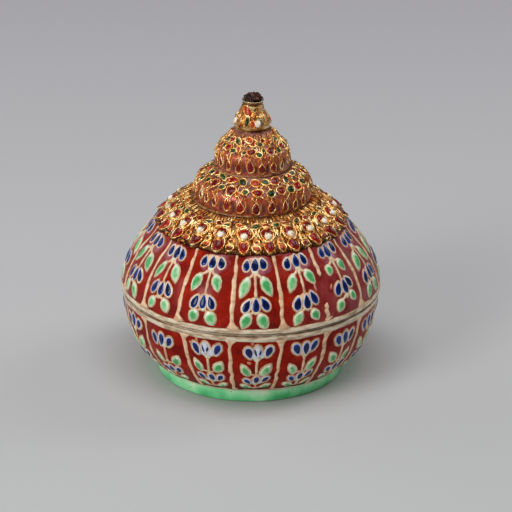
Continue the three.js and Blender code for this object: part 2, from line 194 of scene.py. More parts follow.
def smooth_line(points, steps):
    """The points joined by a smooth curve (centripetal Catmull-Rom), sampled evenly."""
    spans = len(points) - 1
    ends = [2 * points[0] - points[1], *points, 2 * points[-1] - points[-2]]
    line = []
    for step in range(steps + 1):
        span = min(int(step / steps * spans), spans - 1)
        t = step / steps * spans - span
        p0, p1, p2, p3 = ends[span : span + 4]
        d0, d1, d2 = (math.sqrt((b - a).length) for a, b in ((p0, p1), (p1, p2), (p2, p3)))
        leave = ((p1 - p0) / d0 - (p2 - p0) / (d0 + d1) + (p2 - p1) / d1) * d1
        reach = ((p2 - p1) / d1 - (p3 - p1) / (d1 + d2) + (p3 - p2) / d2) * d1
        square = 3 * (p2 - p1) - 2 * leave - reach
        cube = 2 * (p1 - p2) + leave + reach
        line.append(p1 + leave * t + square * t**2 + cube * t**3)
    return line


def shares_line(shares, steps, place):
    """A smooth line through listed shares, each placed between named sizes."""
    return [Vector(place(*share)) for share in smooth_line([Vector(s) for s in shares], steps)]


def read_line(line, radius):
    """Height of a line that runs inwards, at a radius."""
    for outer, inner in zip(line, line[1:]):
        if inner.x <= radius <= outer.x:
            return outer.y + (outer.x - radius) / (outer.x - inner.x) * (inner.y - outer.y)
    return line[-1].y if radius < line[-1].x else line[0].y


class TurnedSurface:
    """A surface turned about Z. Ornament lies on it by an angle from the front, positive to the
    right, a distance in millimetres along its line, and a lift above it. Its scale is the radius
    at which a millimetre across a pattern is a real millimetre."""

    def __init__(self, line, scale, draw_in=None, ripple=0.0, ripple_size=9.0, aside=0.0):
        self.line = line
        self.scale = scale
        self.aside = aside
        self.draw_in = draw_in or (lambda angle: 0)
        self.ripple = ripple
        self.ripple_size = ripple_size
        self.reach = [0.0]
        for before, here in zip(line, line[1:]):
            self.reach.append(self.reach[-1] + (here - before).xy.length)

    def section(self, distance):
        """The line's point and direction at a distance along it."""
        i = min(max(bisect.bisect_right(self.reach, distance), 1), len(self.line) - 1)
        before, after = self.line[i - 1], self.line[i]
        share = (distance - self.reach[i - 1]) / (self.reach[i] - self.reach[i - 1])
        return before.lerp(after, share), (after - before).xy.normalized()

    def place(self, angle, distance, lift=0.0):
        """The point in metres at an angle in radians, a distance along and a lift."""
        here, along = self.section(distance)
        radius = here.x - here.z * self.draw_in(angle)
        if self.ripple:
            spot = Vector((math.sin(angle), math.cos(angle), here.y / here.x)) * here.x
            lift += self.ripple * noise.noise(spot / self.ripple_size)
        radius += lift * along.y
        height = here.y - lift * along.x
        across = self.aside + radius * math.sin(angle)
        return Vector((across, -radius * math.cos(angle), height)) * MM

    def furrow(self, angle, distance):
        """How deep in a furrow a place lies, in millimetres."""
        return self.section(distance)[0].z * self.draw_in(angle)

    def beside(self, distance, lift):
        """Profile point (radius, height) beside the line, furrows left out."""
        here, along = self.section(distance)
        return Vector((here.x + lift * along.y, here.y - lift * along.x))


def around(seen_degrees, count):
    """Angles in radians round the jar: those seen at the front, the rest evenly behind."""
    gap = 360 - (seen_degrees[-1] - seen_degrees[0])
    hidden = count - len(seen_degrees)
    behind = [seen_degrees[-1] + gap * (i + 1) / (hidden + 1) for i in range(hidden)]
    return [math.radians(angle) for angle in (*seen_degrees, *behind)]


def lobes(angles, depth):
    """How far a wall is drawn in at an angle: the full depth at each angle given, and nothing
    midway between two of them."""
    full = 2 * math.pi
    stops = sorted(angle % full for angle in angles)
    stops = [stops[-1] - full, *stops, stops[0] + full]

    def draw_in(angle):
        i = bisect.bisect_right(stops, angle % full)
        share = (angle % full - stops[i - 1]) / (stops[i] - stops[i - 1])
        return depth * (1 - math.sin(math.pi * share))

    return draw_in


def between(angles):
    """The angles midway between neighbours of a full round."""
    following = [*angles[1:], angles[0] + 2 * math.pi]
    return [(here + after) / 2 for here, after in zip(angles, following)]


# Shapes laid on a surface

# A drop lies at a place on its surface, leans in degrees, and narrows towards top and foot by
# these shares of its width
Drop = namedtuple("Drop", "across along half_width half_length lean top foot", defaults=(0, 0, 0))


def narrowing(drop, y):
    """Share of a drop's width left at a share of the way along it, from -1 at its foot to 1."""
    return 1 - drop.top * max(0, (1 + y) / 2) ** 1.5 - drop.foot * max(0, (1 - y) / 2) ** 1.5


def widest(drop):
    """Greatest share of its width that a narrowed drop would reach."""
    ways = (i / 10 - 1 for i in range(21))
    return max(narrowing(drop, y) * math.sqrt(1 - y * y) for y in ways)


def new_mesh():
    """An empty bmesh whose vertices carry depth, length share and a piece's own tint."""
    mesh = bmesh.new()
    mesh.verts.layers.float_color.new("glaze")
    return mesh


def drop_point(drop, x, y, grow=0.0):
    """A point of the unit disc on the drop's outline plane, in millimetres, grown all round."""
    wide = x * (drop.half_width * narrowing(drop, y) / widest(drop) + grow)
    long = y * (drop.half_length + grow)
    lean = math.radians(drop.lean)
    across = wide * math.cos(lean) + long * math.sin(lean)
    along = long * math.cos(lean) - wide * math.sin(lean)
    return drop.across + across, drop.along + along


SINK = 0.3  # how far the underside of what is laid reaches into its surface


def lay_drop(mesh, surface, angle, drop, height, base=0.0, grow=0.0, tint=0.5, sides=12, rings=6):
    """A domed drop of enamel or metal: a flattened ball drawn to the drop's outline."""
    glaze = mesh.verts.layers.float_color["glaze"]
    ball = bmesh.ops.create_uvsphere(mesh, u_segments=sides, v_segments=rings, radius=1)["verts"]
    for vert in ball:
        x, y, z = vert.co
        across, along = drop_point(drop, x, y, grow)
        lift = base + z * (height if z > 0 else SINK)
        vert.co = surface.place(angle + across / surface.scale, along, lift)
        vert[glaze] = (max(z, 0), (y + 1) / 2, tint, 1)


def sweep(mesh, sides, stations, closed):
    """A tube of so many sides with a ring of vertices at every station. Its ends are filled, or
    joined to each other. Each ring keeps the unit circle's coordinates for its maker to place.
    The edges are listed by a dict, whose order is the same in every run, as a set's is not."""
    ring = bmesh.ops.create_circle(mesh, segments=sides, radius=1)["verts"]
    edges = list(dict.fromkeys(edge for vert in ring for edge in vert.link_edges))
    first, rings = edges, [ring]
    for _ in range(stations - 1):
        grown = bmesh.ops.extrude_edge_only(mesh, edges=edges)["geom"]
        rings.append([item for item in grown if isinstance(item, bmesh.types.BMVert)])
        edges = [item for item in grown if isinstance(item, bmesh.types.BMEdge)]
    if closed:
        bmesh.ops.bridge_loops(mesh, edges=[*first, *edges])
    else:
        for loop in (first, edges):
            bmesh.ops.edgeloop_fill(mesh, edges=loop)
    return rings


def lay_wire(mesh, surface, angle, path, half_width, height, closed=False, tint=0.5, sides=6):
    """A raised line along a path of (across, along, width share) points in millimetres."""
    glaze = mesh.verts.layers.float_color["glaze"]
    last = len(path) - 1
    for i, ring in enumerate(sweep(mesh, sides, len(path), closed)):
        before = path[i - 1] if closed or i else path[0]
        after = path[(i + 1) % len(path)] if closed else path[min(i + 1, last)]
        run = Vector((after[0] - before[0], after[1] - before[1])).normalized()
        across, along, share = path[i]
        for vert in ring:
            x, y, _ = vert.co
            reach = x * half_width * share
            lift = y * (height * min(1, share) if y > 0 else SINK)
            place = angle + (across - run.y * reach) / surface.scale
            vert.co = surface.place(place, along + run.x * reach, lift)
            vert[glaze] = (max(y, 0), i / max(last, 1), tint, 1)


def outline_path(drop, steps, grow=0.0, hand=None):
    """The drop's outline as the path of a closed wire. Where a hand is given it is uneven, and
    thicker at the foot, where the solder ran."""
    path = []
    for i in range(steps):
        turn = 2 * math.pi * i / steps
        out = hand.uniform(0.92, 1.14) if hand else 1
        share = hand.uniform(0.7, 1.2) + 0.4 * max(0, -math.sin(turn)) if hand else 1
        path.append((*drop_point(drop, out * math.cos(turn), out * math.sin(turn), grow), share))
    return path


def gather(meshes, laid):
    """Adds the shapes laid for one panel or petal to those of the whole piece."""
    for kind, mesh in laid.items():
        step = bpy.data.meshes.new(kind)
        mesh.to_mesh(step)
        mesh.free()
        meshes[kind].from_mesh(step)
        bpy.data.meshes.remove(step)


def lay_round_band(mesh, surface, middle, half_width, height, wave, steps, sides=8):
    """A raised band right round a surface, whose middle wavers by wave(angle)."""
    glaze = mesh.verts.layers.float_color["glaze"]
    for i, ring in enumerate(sweep(mesh, sides, steps, True)):
        angle = 2 * math.pi * i / steps
        shift, swell = wave(angle)
        for vert in ring:
            x, y, _ = vert.co
            lift = y * (height if y > 0 else SEAT_GAP)
            vert.co = surface.place(angle, middle + shift + x * half_width * swell, lift)
            vert[glaze] = (max(y, 0), 0.5, 0.5, 1)


def rounded(profile, corners, radius=EDGE_ROUND, steps=4):
    """A profile whose corners of the given indices are rounded off."""
    result = []
    for i, corner in enumerate(profile):
        if i not in corners:
            result.append(corner)
            continue
        before, after = profile[i - 1], profile[(i + 1) % len(profile)]
        start = corner + (before - corner).normalized() * radius
        end = corner + (after - corner).normalized() * radius
        for step in range(steps + 1):
            t = step / steps
            result.append(start.lerp(corner, t).lerp(corner.lerp(end, t), t))
    return result


Region = namedtuple("Region", "points finish surface distances", defaults=(None, None))


def on_surface(surface, start, end, steps, finish):
    """A region of a profile that follows an ornament surface."""
    distances = [start + (end - start) * i / steps for i in range(steps + 1)]
    return Region([surface.beside(d, 0) for d in distances], finish, surface, distances)


def turn_profile(regions, steps, closed, lift=0.0):
    """Turns a profile made of regions about Z. Regions on a surface follow its furrows and
    ripples, and each region's faces take its finish's number."""
    mesh = new_mesh()
    order = mesh.verts.layers.float.new("order")
    glaze = mesh.verts.layers.float_color["glaze"]
    verts, homes = [], []
    for region in regions:
        for i, point in enumerate(region.points):
            vert = mesh.verts.new((0, -point.x * MM, point.y * MM))
            vert[order] = len(verts)
            verts.append(vert)
            homes.append((region, region.distances[i] if region.distances else None))
    edges = [mesh.edges.new(pair) for pair in zip(verts, verts[1:])]
    if closed:
        edges.append(mesh.edges.new((verts[-1], verts[0])))
    axis = {"cent": (0, 0, 0), "axis": (0, 0, 1)}
    bmesh.ops.spin(
        mesh, geom=[*verts, *edges], angle=2 * math.pi, steps=steps, use_merge=True, **axis
    )
    for face in mesh.faces:
        places = [int(vert[order]) for vert in face.verts]
        first = max(places) if max(places) - min(places) > 1 else min(places)
        face.material_index = homes[first][0].finish
    for vert in mesh.verts:
        region, distance = homes[int(vert[order])]
        if region.surface:
            angle = math.atan2(vert.co.x, -vert.co.y)
            furrow = region.surface.furrow(angle, distance)
            vert.co = region.surface.place(angle, distance, lift)
            vert[glaze] = (furrow, distance / region.surface.reach[-1], 0, 1)
    bmesh.ops.remove_doubles(mesh, verts=mesh.verts, dist=0.01 * MM)
    bmesh.ops.recalc_face_normals(mesh, faces=mesh.faces)
    mesh.verts.layers.float.remove(mesh.verts.layers.float["order"])
    return mesh


def finish_piece(name, mesh, body, materials, replaces=()):
    """Makes a shown piece of a bmesh: it rides on a body and takes its finish from a slot."""
    bmesh.ops.recalc_face_normals(mesh, faces=mesh.faces)
    data = bpy.data.meshes.new(name)
    mesh.to_mesh(data)
    mesh.free()
    data.shade_smooth()
    piece = bpy.data.objects.new(name, data)
    bpy.context.scene.collection.objects.link(piece)
    for material in materials:
        data.materials.append(material)
    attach(piece, body)
    if replaces:
        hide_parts(*replaces)


# Materials


def colour(text):
    """Linear colour of an sRGB hex value."""
    channels = [int(text[i : i + 2], 16) / 255 for i in (1, 3, 5)]
    linear = [c / 12.92 if c <= 0.04045 else ((c + 0.055) / 1.055) ** 2.4 for c in channels]
    return (*linear, 1.0)


def per_mm(size):
    """Scale of a pattern on Object coordinates whose features are size millimetres across."""
    return 1 / (size * MM)


def add(tree, kind, inputs=None, stops=(), **settings):
    """Adds a node with its settings, its inputs as values or links, and a ramp's stops."""
    node = tree.nodes.new(kind)
    for name, value in settings.items():
        setattr(node, name, value)
    for name, value in (inputs or {}).items():
        if isinstance(value, bpy.types.NodeSocket):
            tree.links.new(value, node.inputs[name])
        else:
            node.inputs[name].default_value = value
    for i, (place, shade) in enumerate(stops):
        ramp = node.color_ramp.elements
        stop = ramp[i] if i < len(ramp) else ramp.new(place)
        stop.position = place
        stop.color = colour(shade)
    return node


def start_material(name, sockets):
    """A material with one Principled shader whose uniform values sit on its own sockets."""
    material = bpy.data.materials.new(name)
    material.use_nodes = True
    tree = material.node_tree
    tree.nodes.clear()
    shader = add(tree, "ShaderNodeBsdfPrincipled", sockets)
    add(tree, "ShaderNodeOutputMaterial", {"Surface": shader.outputs["BSDF"]})
    place = add(tree, "ShaderNodeTexCoord").outputs["Object"]
    return material, tree, shader, place


def mottle(tree, place, size_mm, detail, roughness=0.5):
    """Soft noise whose clouds are so many millimetres across."""
    inputs = {"Vector": place, "Scale": per_mm(size_mm), "Detail": detail, "Roughness": roughness}
    return add(tree, "ShaderNodeTexNoise", inputs).outputs["Fac"]


def remap(tree, value, start=0.0, end=1.0, low=0.0, high=1.0):
    """A value that runs from start to end, taken to run from low to high and held there."""
    inputs = {"Value": value, "From Min": start, "From Max": end, "To Min": low, "To Max": high}
    return add(tree, "ShaderNodeMapRange", inputs).outputs["Result"]


def combine(tree, operation, first, second):
    """Two values added or multiplied."""
    return add(tree, "ShaderNodeMath", {0: first, 1: second}, operation=operation).outputs[0]


def shades(tree, value, stops):
    """The colours met along a value."""
    return add(tree, "ShaderNodeValToRGB", {"Fac": value}, stops=stops).outputs["Color"]


def blend(tree, share, first, second):
    """One colour turned into another by a share."""
    inputs = {0: share, 6: first, 7: second}
    return add(tree, "ShaderNodeMix", inputs, data_type="RGBA").outputs[2]


def off_dots(tree, place, spacing_mm, start, end):
    """A share that is 0 on small scattered dots and 1 round them."""
    inputs = {"Vector": place, "Scale": per_mm(spacing_mm), "Randomness": 1}
    away = add(tree, "ShaderNodeTexVoronoi", inputs).outputs["Distance"]
    return remap(tree, away, start, end)


def along_axis(tree, place, axis):
    """One coordinate of a place."""
    return add(tree, "ShaderNodeSeparateXYZ", {"Vector": place}).outputs[axis]


def scaled_upright(tree, place, share):
    """A place whose height counts by a share, which stretches or flattens a pattern."""
    inputs = {"Vector": place, "Scale": (1, 1, share)}
    return add(tree, "ShaderNodeMapping", inputs).outputs["Vector"]


def glaze_channels(tree):
    """Depth, length share and tint that a laid drop or wire carries."""
    glaze = add(tree, "ShaderNodeAttribute", attribute_name="glaze").outputs["Color"]
    return add(tree, "ShaderNodeSeparateColor", {"Color": glaze}).outputs


def give_bump(tree, shader, height, distance_mm, strength):
    """Fine relief under the gloss."""
    inputs = {"Height": height, "Distance": distance_mm * MM, "Strength": strength}
    bump = add(tree, "ShaderNodeBump", inputs)
    tree.links.new(bump.outputs["Normal"], shader.inputs["Normal"])


def mottled(name, sockets, size_mm, detail, roughness, stops, relief=None):
    """A material in the shades met along one soft noise, which is its fine relief too where a
    distance in millimetres and a strength are given."""
    material, tree, shader, place = start_material(name, sockets)
    clouds = mottle(tree, place, size_mm, detail, roughness)
    tree.links.new(shades(tree, clouds, stops), shader.inputs["Base Color"])
    if relief:
        give_bump(tree, shader, clouds, *relief)
    return material


def red_enamel(name, gloss, right_sheen_strength):
    """Overglaze enamel brushed on thick between the outlines: deep red with browner and brighter
    patches, a painted mauve reflection on the right side, and a glassy skin that ripples slightly."""
    material, tree, shader, place = start_material(
        name, {"IOR": 1.5, "Specular IOR Level": gloss}
    )
    patches = mottle(tree, place, 6, 5, 0.62)
    stops = [(0.3, "#5E0A03"), (0.45, "#841306"), (0.58, "#991A08"), (0.76, "#B43416")]
    unpitted = off_dots(tree, place, 2.6, 0.02, 0.08)
    base = blend(tree, unpitted, colour("#3A0804"), shades(tree, patches, stops))
    # Painted reflection: a mauve sheen mixed into the red towards the jar's right side
    right = remap(tree, along_axis(tree, place, "X"), 12 * MM, 32 * MM, 0, right_sheen_strength)
    cloudy = remap(tree, patches, 0.4, 0.6, 0.25, 1)
    right_sheen_share = combine(tree, "MULTIPLY", right, cloudy)
    with_right_sheen = blend(tree, right_sheen_share, base, colour("#8E545A"))
    tree.links.new(with_right_sheen, shader.inputs["Base Color"])
    tree.links.new(remap(tree, patches, 0.3, 0.7, 0.3, 0.16), shader.inputs["Roughness"])
    give_bump(tree, shader, mottle(tree, place, 1.6, 3), 0.12, 0.35)
    return material


def cream_enamel(name, stops, grime_size, rise, flatness=1.8):
    """Opaque pale enamel trailed on in raised lines: its crest is pale, its low edges and the
    patches where the glaze has worn are pinkish brown."""
    material, tree, shader, place = start_material(name, {"IOR": 1.5})
    grime = mottle(tree, scaled_upright(tree, place, flatness), grime_size, 4, 0.55)
    channels = glaze_channels(tree)
    raised = remap(tree, channels["Red"], 0, 0.8, -rise, rise)
    own = remap(tree, channels["Blue"], 0, 1, -0.1, 0.1)
    shade = combine(tree, "ADD", grime, combine(tree, "ADD", raised, own))
    tree.links.new(shades(tree, shade, stops), shader.inputs["Base Color"])
    tree.links.new(remap(tree, grime, 0.3, 0.7, 0.42, 0.2), shader.inputs["Roughness"])
    give_bump(tree, shader, grime, 0.15, 0.4)
    return material


def drop_enamel(name, stops, spread, mottle_size, roughness, pale_top=None):
    """Translucent enamel that fired to a bead: pale where it thins at the edge, deep in the
    middle, each bead with its own strength of colour, some with a bare pale upper end."""
    material, tree, shader, place = start_material(
        name, {"IOR": 1.54, "Specular IOR Level": 0.3, "Roughness": roughness}
    )
    channels = glaze_channels(tree)
    clouds = mottle(tree, place, mottle_size, 4, 0.6)
    strength = remap(tree, channels["Blue"], 0, 1, -spread, spread)
    cloudy = remap(tree, clouds, 0.3, 0.7, -0.22, 0.22)
    shade = combine(tree, "ADD", combine(tree, "ADD", channels["Red"], strength), cloudy)
    shown = shades(tree, shade, stops)
    if pale_top:
        bare = remap(tree, channels["Green"], 0.7, 0.92)
        shown = blend(tree, bare, shown, colour(pale_top))
    tree.links.new(shown, shader.inputs["Base Color"])
    give_bump(tree, shader, clouds, 0.08, 0.3)
    return material


def painted_sheen_material():
    """A painted mauve reflection on the red enamel round the upper flowers, standing in for the soft
    sheen there; it fades into the ground at its edge."""
    material, tree, shader, place = start_material(
        "thin_mauve_enamel", {"IOR": 1.5, "Specular IOR Level": 0.3, "Roughness": 0.2}
    )
    clouds = mottle(tree, place, 3.2, 4, 0.55)
    cloudy = remap(tree, clouds, 0.3, 0.7, -0.4, 0.4)
    shade = combine(tree, "ADD", glaze_channels(tree)["Red"], cloudy)
    stops = [(0.1, "#8A1608"), (0.4, "#8A211A"), (0.7, "#944048"), (1.0, "#A05A6C")]
    tree.links.new(shades(tree, shade, stops), shader.inputs["Base Color"])
    give_bump(tree, shader, clouds, 0.12, 0.35)
    return material


def stain_and_shadow(name, stops):
    """Brown black stain and bare body where enamel flaked off above the foot; also the near-black
    painted shadow laid into the seam."""
    return mottled(name, {"Roughness": 0.5}, 1.2, 5, 0.5, stops, (0.12, 0.6))


def foot_glaze():
    """Copper green glaze run down over the foot ring: mint where it is thin along the top edge
    and greener below, in soft clouds with a few dark pinholes."""
    material, tree, shader, place = start_material("copper_green_glaze", {"IOR": 1.5})
    clouds = mottle(tree, place, 8, 3, 0.45)
    thin = remap(tree, along_axis(tree, place, "Z"), 0.8 * MM, 5.2 * MM, -0.12, 0.22)
    stops = [(0.28, "#50C478"), (0.45, "#7CE69C"), (0.6, "#A4F4B6"), (0.82, "#F0FCDE")]
    tone = shades(tree, combine(tree, "ADD", clouds, thin), stops)
    unpitted = off_dots(tree, place, 2.2, 0.05, 0.11)
    base = blend(tree, unpitted, colour("#2C5A3C"), tone)
    tree.links.new(base, shader.inputs["Base Color"])
    tree.links.new(remap(tree, clouds, 0, 1, 0.34, 0.14), shader.inputs["Roughness"])
    give_bump(tree, shader, clouds, 0.25, 0.3)
    return material


def gold(name, stops, roughness_range, dent_size, dent_strength, metallic=1.0):
    """Gold sheet worked by hand: small facets and dents that break its shine into points, with
    darker metal where polish never reaches."""
    material, tree, shader, place = start_material(name, {"Metallic": metallic})
    dents = mottle(tree, place, dent_size, 4, 0.6)
    wear = mottle(tree, place, 2.2, 5, 0.65)
    tree.links.new(shades(tree, wear, stops), shader.inputs["Base Color"])
    gloss = remap(tree, dents, 0.3, 0.7, *roughness_range)
    tree.links.new(gloss, shader.inputs["Roughness"])
    give_bump(tree, shader, dents, 0.3, dent_strength)
    return material


def tier_ground():
    """Thin aubergine enamel over gold on the tiers: brown red on the ribs, painted shade in the
    furrows between them, darker towards the top, with streaks that run down it."""
    material, tree, shader, place = start_material(
        "aubergine_enamel_on_gold",
        {"IOR": 1.5, "Metallic": 0.3, "Roughness": 0.34, "Coat Weight": 0.3, "Coat Roughness": 0.12},
    )
    streaks = mottle(tree, scaled_upright(tree, place, 0.22), 1.1, 4, 0.6)
    stops = [
        (0.3, "#5A1A10"),
        (0.42, "#A8401C"),
        (0.51, "#C85E30"),
        (0.59, "#8E4048"),
        (0.7, "#E2A472"),
    ]
    channels = glaze_channels(tree)
    # Painted shade: the furrows between the ribs are darkened
    furrow_shade = remap(tree, channels["Red"], 0.2, 0.5)
    with_furrow_shade = blend(tree, furrow_shade, shades(tree, streaks, stops), colour("#5A1E1C"))
    high = remap(tree, channels["Green"], 0.42, 0.6, 0, 0.7)
    darkened = blend(tree, high, with_furrow_shade, colour("#5C2E1E"))
    tree.links.new(darkened, shader.inputs["Base Color"])
    give_bump(tree, shader, streaks, 0.25, 0.6)
    return material


# The last value is how strongly the painted mauve reflection shows on the right
RED = red_enamel("red_overglaze_enamel", 0.18, 0.62)
BOWL_RED = red_enamel("worn_red_enamel", 0.07, 0.12)
CREAM = cream_enamel(
    "cream_trailed_enamel",
    [(0.28, "#90563A"), (0.42, "#C08862"), (0.56, "#DCAC84"), (0.74, "#F2CEA8")],
    2.6,
    0.16,
)
SEAM_CREAM = cream_enamel(
    "worn_white_rim_enamel",
    [(0.32, "#6E4E38"), (0.44, "#A08060"), (0.55, "#C4A886"), (0.7, "#EADBC0")],
    4.2,
    0.14,
    4.0,
)
PETAL_HALO = cream_enamel(
    "blue_white_outline_enamel",
    [(0.26, "#A87452"), (0.4, "#CAA68A"), (0.52, "#CCC8C8"), (0.68, "#D8DEE8")],
    3,
    0.24,
)
LEAF_HALO = cream_enamel(
    "green_white_outline_enamel",
    [(0.26, "#A06C4A"), (0.44, "#C89C72"), (0.6, "#D6C098"), (0.78, "#DFE2C2")],
    3,
    0.22,
)
COBALT = drop_enamel(
    "cobalt_blue_enamel",
    [(0.0, "#4470B4"), (0.16, "#0A4098"), (0.42, "#032E80"), (0.95, "#02103C")],
    0.2,
    1.2,
    0.12,
)
LEAF_GREEN = drop_enamel(
    "copper_green_enamel",
    [(0.0, "#EEF2DA"), (0.34, "#CCE6BA"), (0.62, "#9CD49A"), (0.85, "#70BE7A"), (1.0, "#48A45E")],
    0.24,
    1.3,
    0.14,
    "#EEF0DE",
)
FOOT_GREEN = foot_glaze()
# Clear glaze over white porcelain, faintly green and smooth as glass, inside the jar
CLEAR_GLAZE = mottled(
    "clear_glazed_porcelain",
    {"IOR": 1.5, "Roughness": 0.12},
    14,
    4,
    0.5,
    [(0.35, "#CFD6CC"), (0.55, "#E0E3DA"), (0.7, "#E9E8DF")],
    (0.3, 0.3),
)
# Unglazed porcelain where rim and foot were wiped clean for firing: dry, sandy and stained
BISCUIT = mottled(
    "unglazed_porcelain",
    {"Roughness": 0.75},
    0.8,
    6,
    0.7,
    [(0.3, "#8E7A5E"), (0.5, "#BBAA8C"), (0.7, "#D8CDB6")],
    (0.1, 0.6),
)
CHASED_GOLD = gold(
    "chased_gold",
    [(0.3, "#5E220C"), (0.42, "#AA4C1A"), (0.52, "#E29644"), (0.64, "#FFD88E")],
    (0.24, 0.46),
    0.8,
    0.8,
    0.82,
)
WIRE_GOLD = gold(
    "gold_cell_rims",
    [(0.3, "#9C5222"), (0.42, "#DE9A4C"), (0.52, "#FBCE84"), (0.66, "#FFEEC2")],
    (0.16, 0.34),
    0.7,
    0.4,
)
SMOOTH_GOLD = gold(
    "worn_smooth_gold",
    [(0.3, "#8A5630"), (0.44, "#C4905A"), (0.55, "#E6C688"), (0.68, "#FFF2C6")],
    (0.2, 0.36),
    1.9,
    0.5,
)
# Tarnished gold that also serves as painted shade at and under the skirt's edge
SHADE_DARK_GOLD = gold(
    "tarnished_gold",
    [(0.3, "#24120C"), (0.46, "#472A1A"), (0.6, "#744A28"), (0.78, "#A0703C")],
    (0.35, 0.55),
    0.9,
    0.6,
)
PALE_GOLD = gold(
    "polished_pale_gold",
    [(0.3, "#A88C5E"), (0.5, "#D6BE90"), (0.7, "#EBDCB6")],
    (0.16, 0.3),
    1.2,
    0.25,
)
TARNISHED_TAN = gold(
    "tarnished_tan_gold",
    [(0.3, "#4E2C18"), (0.45, "#845430"), (0.58, "#AC7C46"), (0.75, "#D4A86C")],
    (0.35, 0.5),
    0.9,
    0.5,
    0.4,
)
DULL_BRASS = gold(
    "dull_brass",
    [(0.3, "#5C4524"), (0.5, "#94743E"), (0.7, "#B08A4E")],
    (0.35, 0.5),
    0.9,
    0.25,
)
TIER_GROUND = tier_ground()
RUBY = drop_enamel(
    "ruby_enamel_on_gold",
    [(0.0, "#DC6A30"), (0.2, "#B4260C"), (0.55, "#921406"), (1.0, "#600A04")],
    0.24,
    0.8,
    0.08,
)
ORANGE = drop_enamel(
    "orange_enamel_on_gold",
    [(0.0, "#EAA448"), (0.3, "#D0601C"), (0.7, "#AC340E")],
    0.2,
    0.8,
    0.1,
)
EMERALD = drop_enamel(
    "emerald_enamel_on_gold",
    [(0.0, "#ACA852"), (0.25, "#4A6C24"), (0.6, "#1C461C"), (1.0, "#0C280E")],
    0.24,
    0.8,
    0.08,
)
# Pale polished stone, milky with faint clouds under a glassy dome
STONE = mottled(
    "milky_cabochon_stone",
    {
        "IOR": 1.55,
        "Roughness": 0.06,
        "Subsurface Weight": 0.25,
        "Subsurface Radius": (1, 0.9, 0.75),
        "Subsurface Scale": 0.6 * MM,
    },
    1.4,
    4,
    0.5,
    [(0.3, "#BC9E78"), (0.43, "#F0DFC2"), (0.56, "#FFF8EA")],
)
# Old setting resin, broken off rough: almost black brown with rusty grains
RESIN = mottled(
    "broken_setting_resin",
    {"Roughness": 0.3, "Specular IOR Level": 0.2},
    0.9,
    6,
    0.7,
    [(0.4, "#0E0503"), (0.5, "#2C150C"), (0.58, "#643220"), (0.67, "#CCA080")],
    (0.4, 0.9),
)
# Flaked enamel that bares a pinkish, dry underlayer
CHIP = mottled(
    "flaked_enamel_ground",
    {"Roughness": 0.55},
    1.1,
    5,
    0.5,
    [(0.35, "#A8402A"), (0.5, "#D07A5E"), (0.65, "#E8B8A4")],
    (0.15, 0.6),
)
STAIN = stain_and_shadow(
    "brown_stained_body",
    [(0.4, "#140C0A"), (0.53, "#3A221A"), (0.64, "#7E5844"), (0.76, "#BC9E82")],
)
# Painted shadow: a near-black band laid in the seam's slit
SEAM_SHADOW = stain_and_shadow("seam_grime", [(0.4, "#0A0605"), (0.56, "#24160F"), (0.7, "#5E4432")])
# Painted mauve reflection round the lid's upper flowers
PAINTED_SHEEN = painted_sheen_material()


# Porcelain

# Dividing lines: degrees from the front of those that show, at their lower end, middle and top
LID_DIVIDERS_SEEN = (
    (-53.8, -32.9, -7.8, 14.1, 35.9, 57.6),
    (-55.9, -33.3, -7.9, 14.3, 37.2, 59.7),
    (-54.8, -32.9, -8.3, 13.4, 37.2, 58.8),
)
BOWL_DIVIDERS_SEEN = (
    (-52.0, -27.6, -8.6, 12.6, 33.4, 55.2),
    (-54.0, -29.2, -8.8, 13.0, 34.6, 56.0),
    (-54.8, -30.5, -8.8, 14.1, 35.8, 57.2),
)
LID_DIVIDERS = [around(seen, PANEL_COUNT) for seen in LID_DIVIDERS_SEEN]
BOWL_DIVIDERS = [around(seen, PANEL_COUNT) for seen in BOWL_DIVIDERS_SEEN]

RIPPLE = 0.16  # how far the hand-brushed enamel swells and thins


def bowl_side(across, up, furrow):
    """A point of the bowl's line from its shares."""
    radius = SPRING_RADIUS + across * (RIM_RADIUS - SPRING_RADIUS)
    return radius, FOOT_HEIGHT + up * (SEAM_HEIGHT - EDGE_ROUND - FOOT_HEIGHT), furrow


def lid_side(across, up, furrow):
    """A point of the lid's line from its shares."""
    return across * LID_RADIUS, LID_BASE + up * (DOME_TOP - LID_BASE), furrow


FOOT_LINE = [
    Vector((FOOT_RADIUS, 0, 0)),
    Vector((FOOT_RADIUS + FOOT_FLARE, FOOT_HEIGHT - EDGE_ROUND, 0)),
]
BOWL_SURFACE = TurnedSurface(
    FOOT_LINE + shares_line(BOWL_SHARES, 120, bowl_side),
    RIM_RADIUS,
    lobes(BOWL_DIVIDERS[1], GROOVE_DEPTH),
    RIPPLE,
)
LID_LINE = shares_line(LID_SHARES, 180, lid_side)
LID_SURFACE = TurnedSurface(LID_LINE, LID_RADIUS, lobes(LID_DIVIDERS[1], GROOVE_DEPTH), RIPPLE)

RED_FACE, WHITE_FACE, BARE_FACE, GREEN_FACE, CREAM_FACE = range(5)
LID_FINISHES = [RED, CLEAR_GLAZE, BISCUIT, FOOT_GREEN, SEAM_CREAM]
BOWL_FINISHES = [BOWL_RED, CLEAR_GLAZE, BISCUIT, FOOT_GREEN, SEAM_CREAM]
LID_DECORATED = 29.0  # length of the lid's line that is decorated, up to under the skirt
FOOT_GLAZE_TOP = 5.4  # along the bowl's line
TURN_STEPS = 256


def flat(*points):
    """Profile points as vectors."""
    return [Vector(point) for point in points]


def lip_radius():
    """Outer radius of the bowl's lip: clear of the inside of the lid."""
    radius = next(p.x for p in LID_LINE if p.y >= LIP_TOP)
    return radius - LID_WALL - LIP_CLEARANCE


